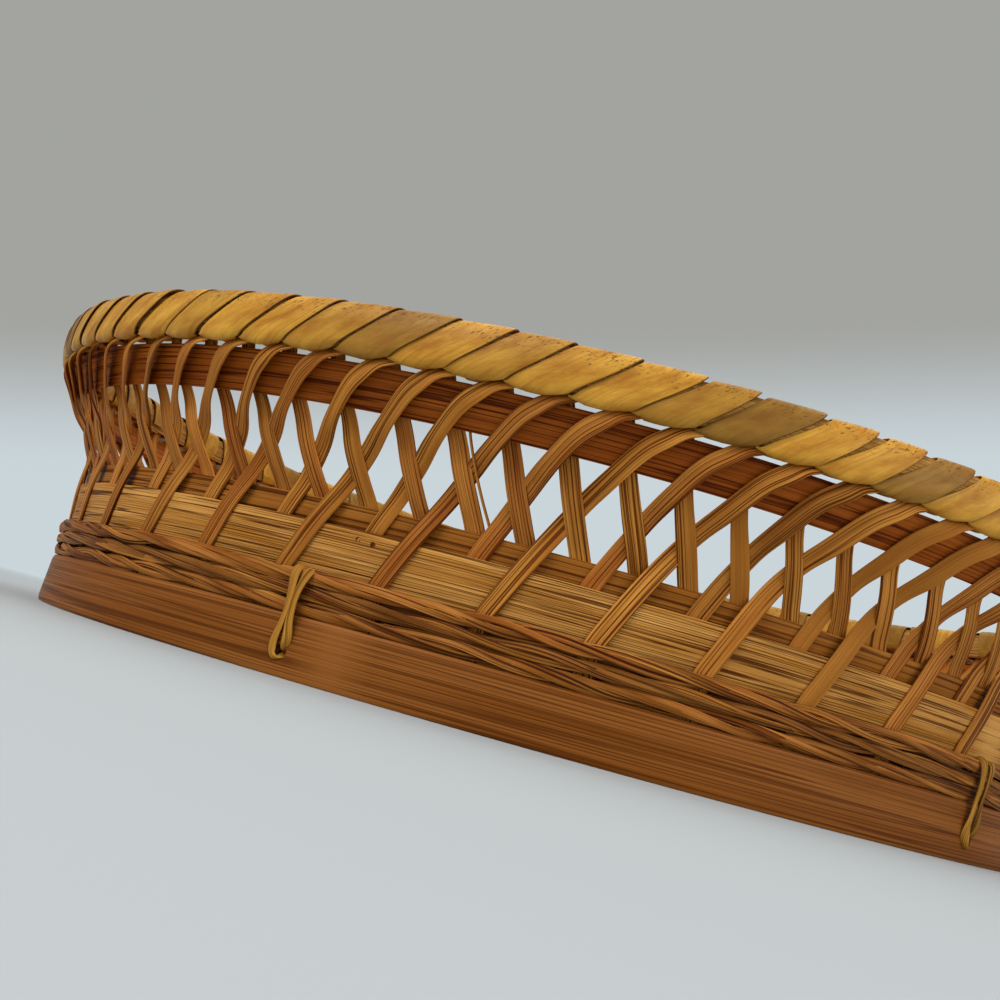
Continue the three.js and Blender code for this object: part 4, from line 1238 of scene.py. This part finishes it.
# Camera, where the photograph was taken from: close to the tray, looking up a little, and rolled.
CAMERA_PLACE = Vector((0, -329.6, 7.69)) * MM
CAMERA_PAN = math.radians(4.15)
CAMERA_TILT = math.radians(9.22)
CAMERA_ROLL = math.radians(15.45)
LEVEL_VIEW = math.radians(90)
FOCAL_PIXELS = 1146
PICTURE_PIXELS = 1000
SENSOR_WIDTH = 36
NEAREST_SEEN = 10 * MM

# Lamps, with place and size in metres and power in watts, and the point that they face.
LAMPS = {
    "key": ((-0.5, -0.65, 0.75), 0.6, 7.0),
    "ceiling": ((0.0, 0.4, 1.0), 1.1, 3.8),
    "fill": ((0.75, -0.55, 0.45), 0.6, 3.0),
}
LAMP_AIM = Vector((0, 0, 0.03))

# Ground, in metres: its size, and the distances between which it fades into the surroundings.
GROUND_SIZE = 8
FADE_START = 0.25
FADE_END = 0.7

# Surroundings: colours below and above, the shares of height between which they change, and their light.
BACK_LOW = "#cad5da"
BACK_HIGH = "#a3a4a0"
BACK_LIGHT = "#c8c8c6"
BACK_START = 0.02
BACK_END = 0.15

pan = Matrix.Rotation(CAMERA_PAN, 3, "Z")
tilt = Matrix.Rotation(LEVEL_VIEW + CAMERA_TILT, 3, "X")
roll = Matrix.Rotation(CAMERA_ROLL, 3, "Z")
camera_turn = pan @ tilt @ roll


def make_camera():
    """Camera at the photograph's viewing angle."""
    data = bpy.data.cameras.new("camera")
    data.sensor_fit = "HORIZONTAL"
    data.sensor_width = SENSOR_WIDTH
    data.lens = SENSOR_WIDTH * FOCAL_PIXELS / PICTURE_PIXELS
    data.clip_start = NEAREST_SEEN
    camera = bpy.data.objects.new("camera", data)
    camera.matrix_world = Matrix.Translation(CAMERA_PLACE) @ camera_turn.to_4x4()
    bpy.context.scene.collection.objects.link(camera)
    bpy.context.scene.camera = camera


def make_lamp(name, place, size, power):
    """A soft square lamp that faces the tray."""
    data = bpy.data.lights.new(name, "AREA")
    data.size = size
    data.energy = power
    lamp = bpy.data.objects.new(name, data)
    lamp.location = place
    lamp.rotation_euler = (LAMP_AIM - Vector(place)).to_track_quat("-Z", "Y").to_euler()
    bpy.context.scene.collection.objects.link(lamp)


def make_ground():
    """Plain pale floor, matt as painted board, which fades out far from the tray."""
    material, tree, shader = new_material("pale_floor")
    shader.inputs["Base Color"].default_value = colour("#aab0b2")
    shader.inputs["Roughness"].default_value = 0.9
    place = add(tree, "TexCoord").outputs["Object"]
    away = add(tree, "VectorMath", {0: place}, operation="LENGTH").outputs["Value"]
    limits = {1: FADE_START, 2: FADE_END}
    fade = add(tree, "MapRange", {0: away, **limits}, interpolation_type="SMOOTHSTEP").outputs[0]
    clear = add(tree, "BsdfTransparent").outputs[0]
    mixed = add(tree, "MixShader", {0: fade, 1: shader.outputs[0], 2: clear}).outputs[0]
    tree.links.new(mixed, tree.nodes["Material Output"].inputs["Surface"])
    bpy.ops.mesh.primitive_plane_add(size=GROUND_SIZE)
    ground = bpy.context.object
    ground.name = "ground"
    ground.data.materials.append(material)


def make_world():
    """Plain pale surroundings, which darken upwards where they are seen and give even light."""
    world = bpy.data.worlds.new("surroundings")
    world.use_nodes = True
    tree = world.node_tree
    shader = tree.nodes["Background"]
    way = add(tree, "TexCoord").outputs["Generated"]
    # The way they darken is fixed in space: it is the photograph's upright, and no other view moves it.
    rise = camera_turn.col[1]
    height = add(tree, "VectorMath", {0: way, 1: rise}, operation="DOT_PRODUCT").outputs["Value"]
    limits = {1: BACK_START, 2: BACK_END}
    share = add(tree, "MapRange", {0: height, **limits}, interpolation_type="SMOOTHSTEP").outputs[0]
    tones = {6: colour(BACK_LOW), 7: colour(BACK_HIGH)}
    seen = add(tree, "Mix", {0: share, **tones}, data_type="RGBA").outputs[2]
    rays = add(tree, "LightPath").outputs
    straight = {0: rays["Is Camera Ray"], 1: rays["Is Glossy Ray"]}
    direct = add(tree, "Math", straight, operation="MAXIMUM").outputs[0]
    plain = add(tree, "Math", {0: direct, 1: rays["Is Transmission Ray"]}, operation="MAXIMUM").outputs[0]
    mixed = add(tree, "Mix", {0: plain, 6: colour(BACK_LIGHT), 7: seen}, data_type="RGBA").outputs[2]
    tree.links.new(mixed, shader.inputs["Color"])
    bpy.context.scene.world = world


make_camera()
for label, lamp in LAMPS.items():
    make_lamp(label, *lamp)
make_ground()
make_world()
bpy.context.scene.view_settings.view_transform = "Standard"
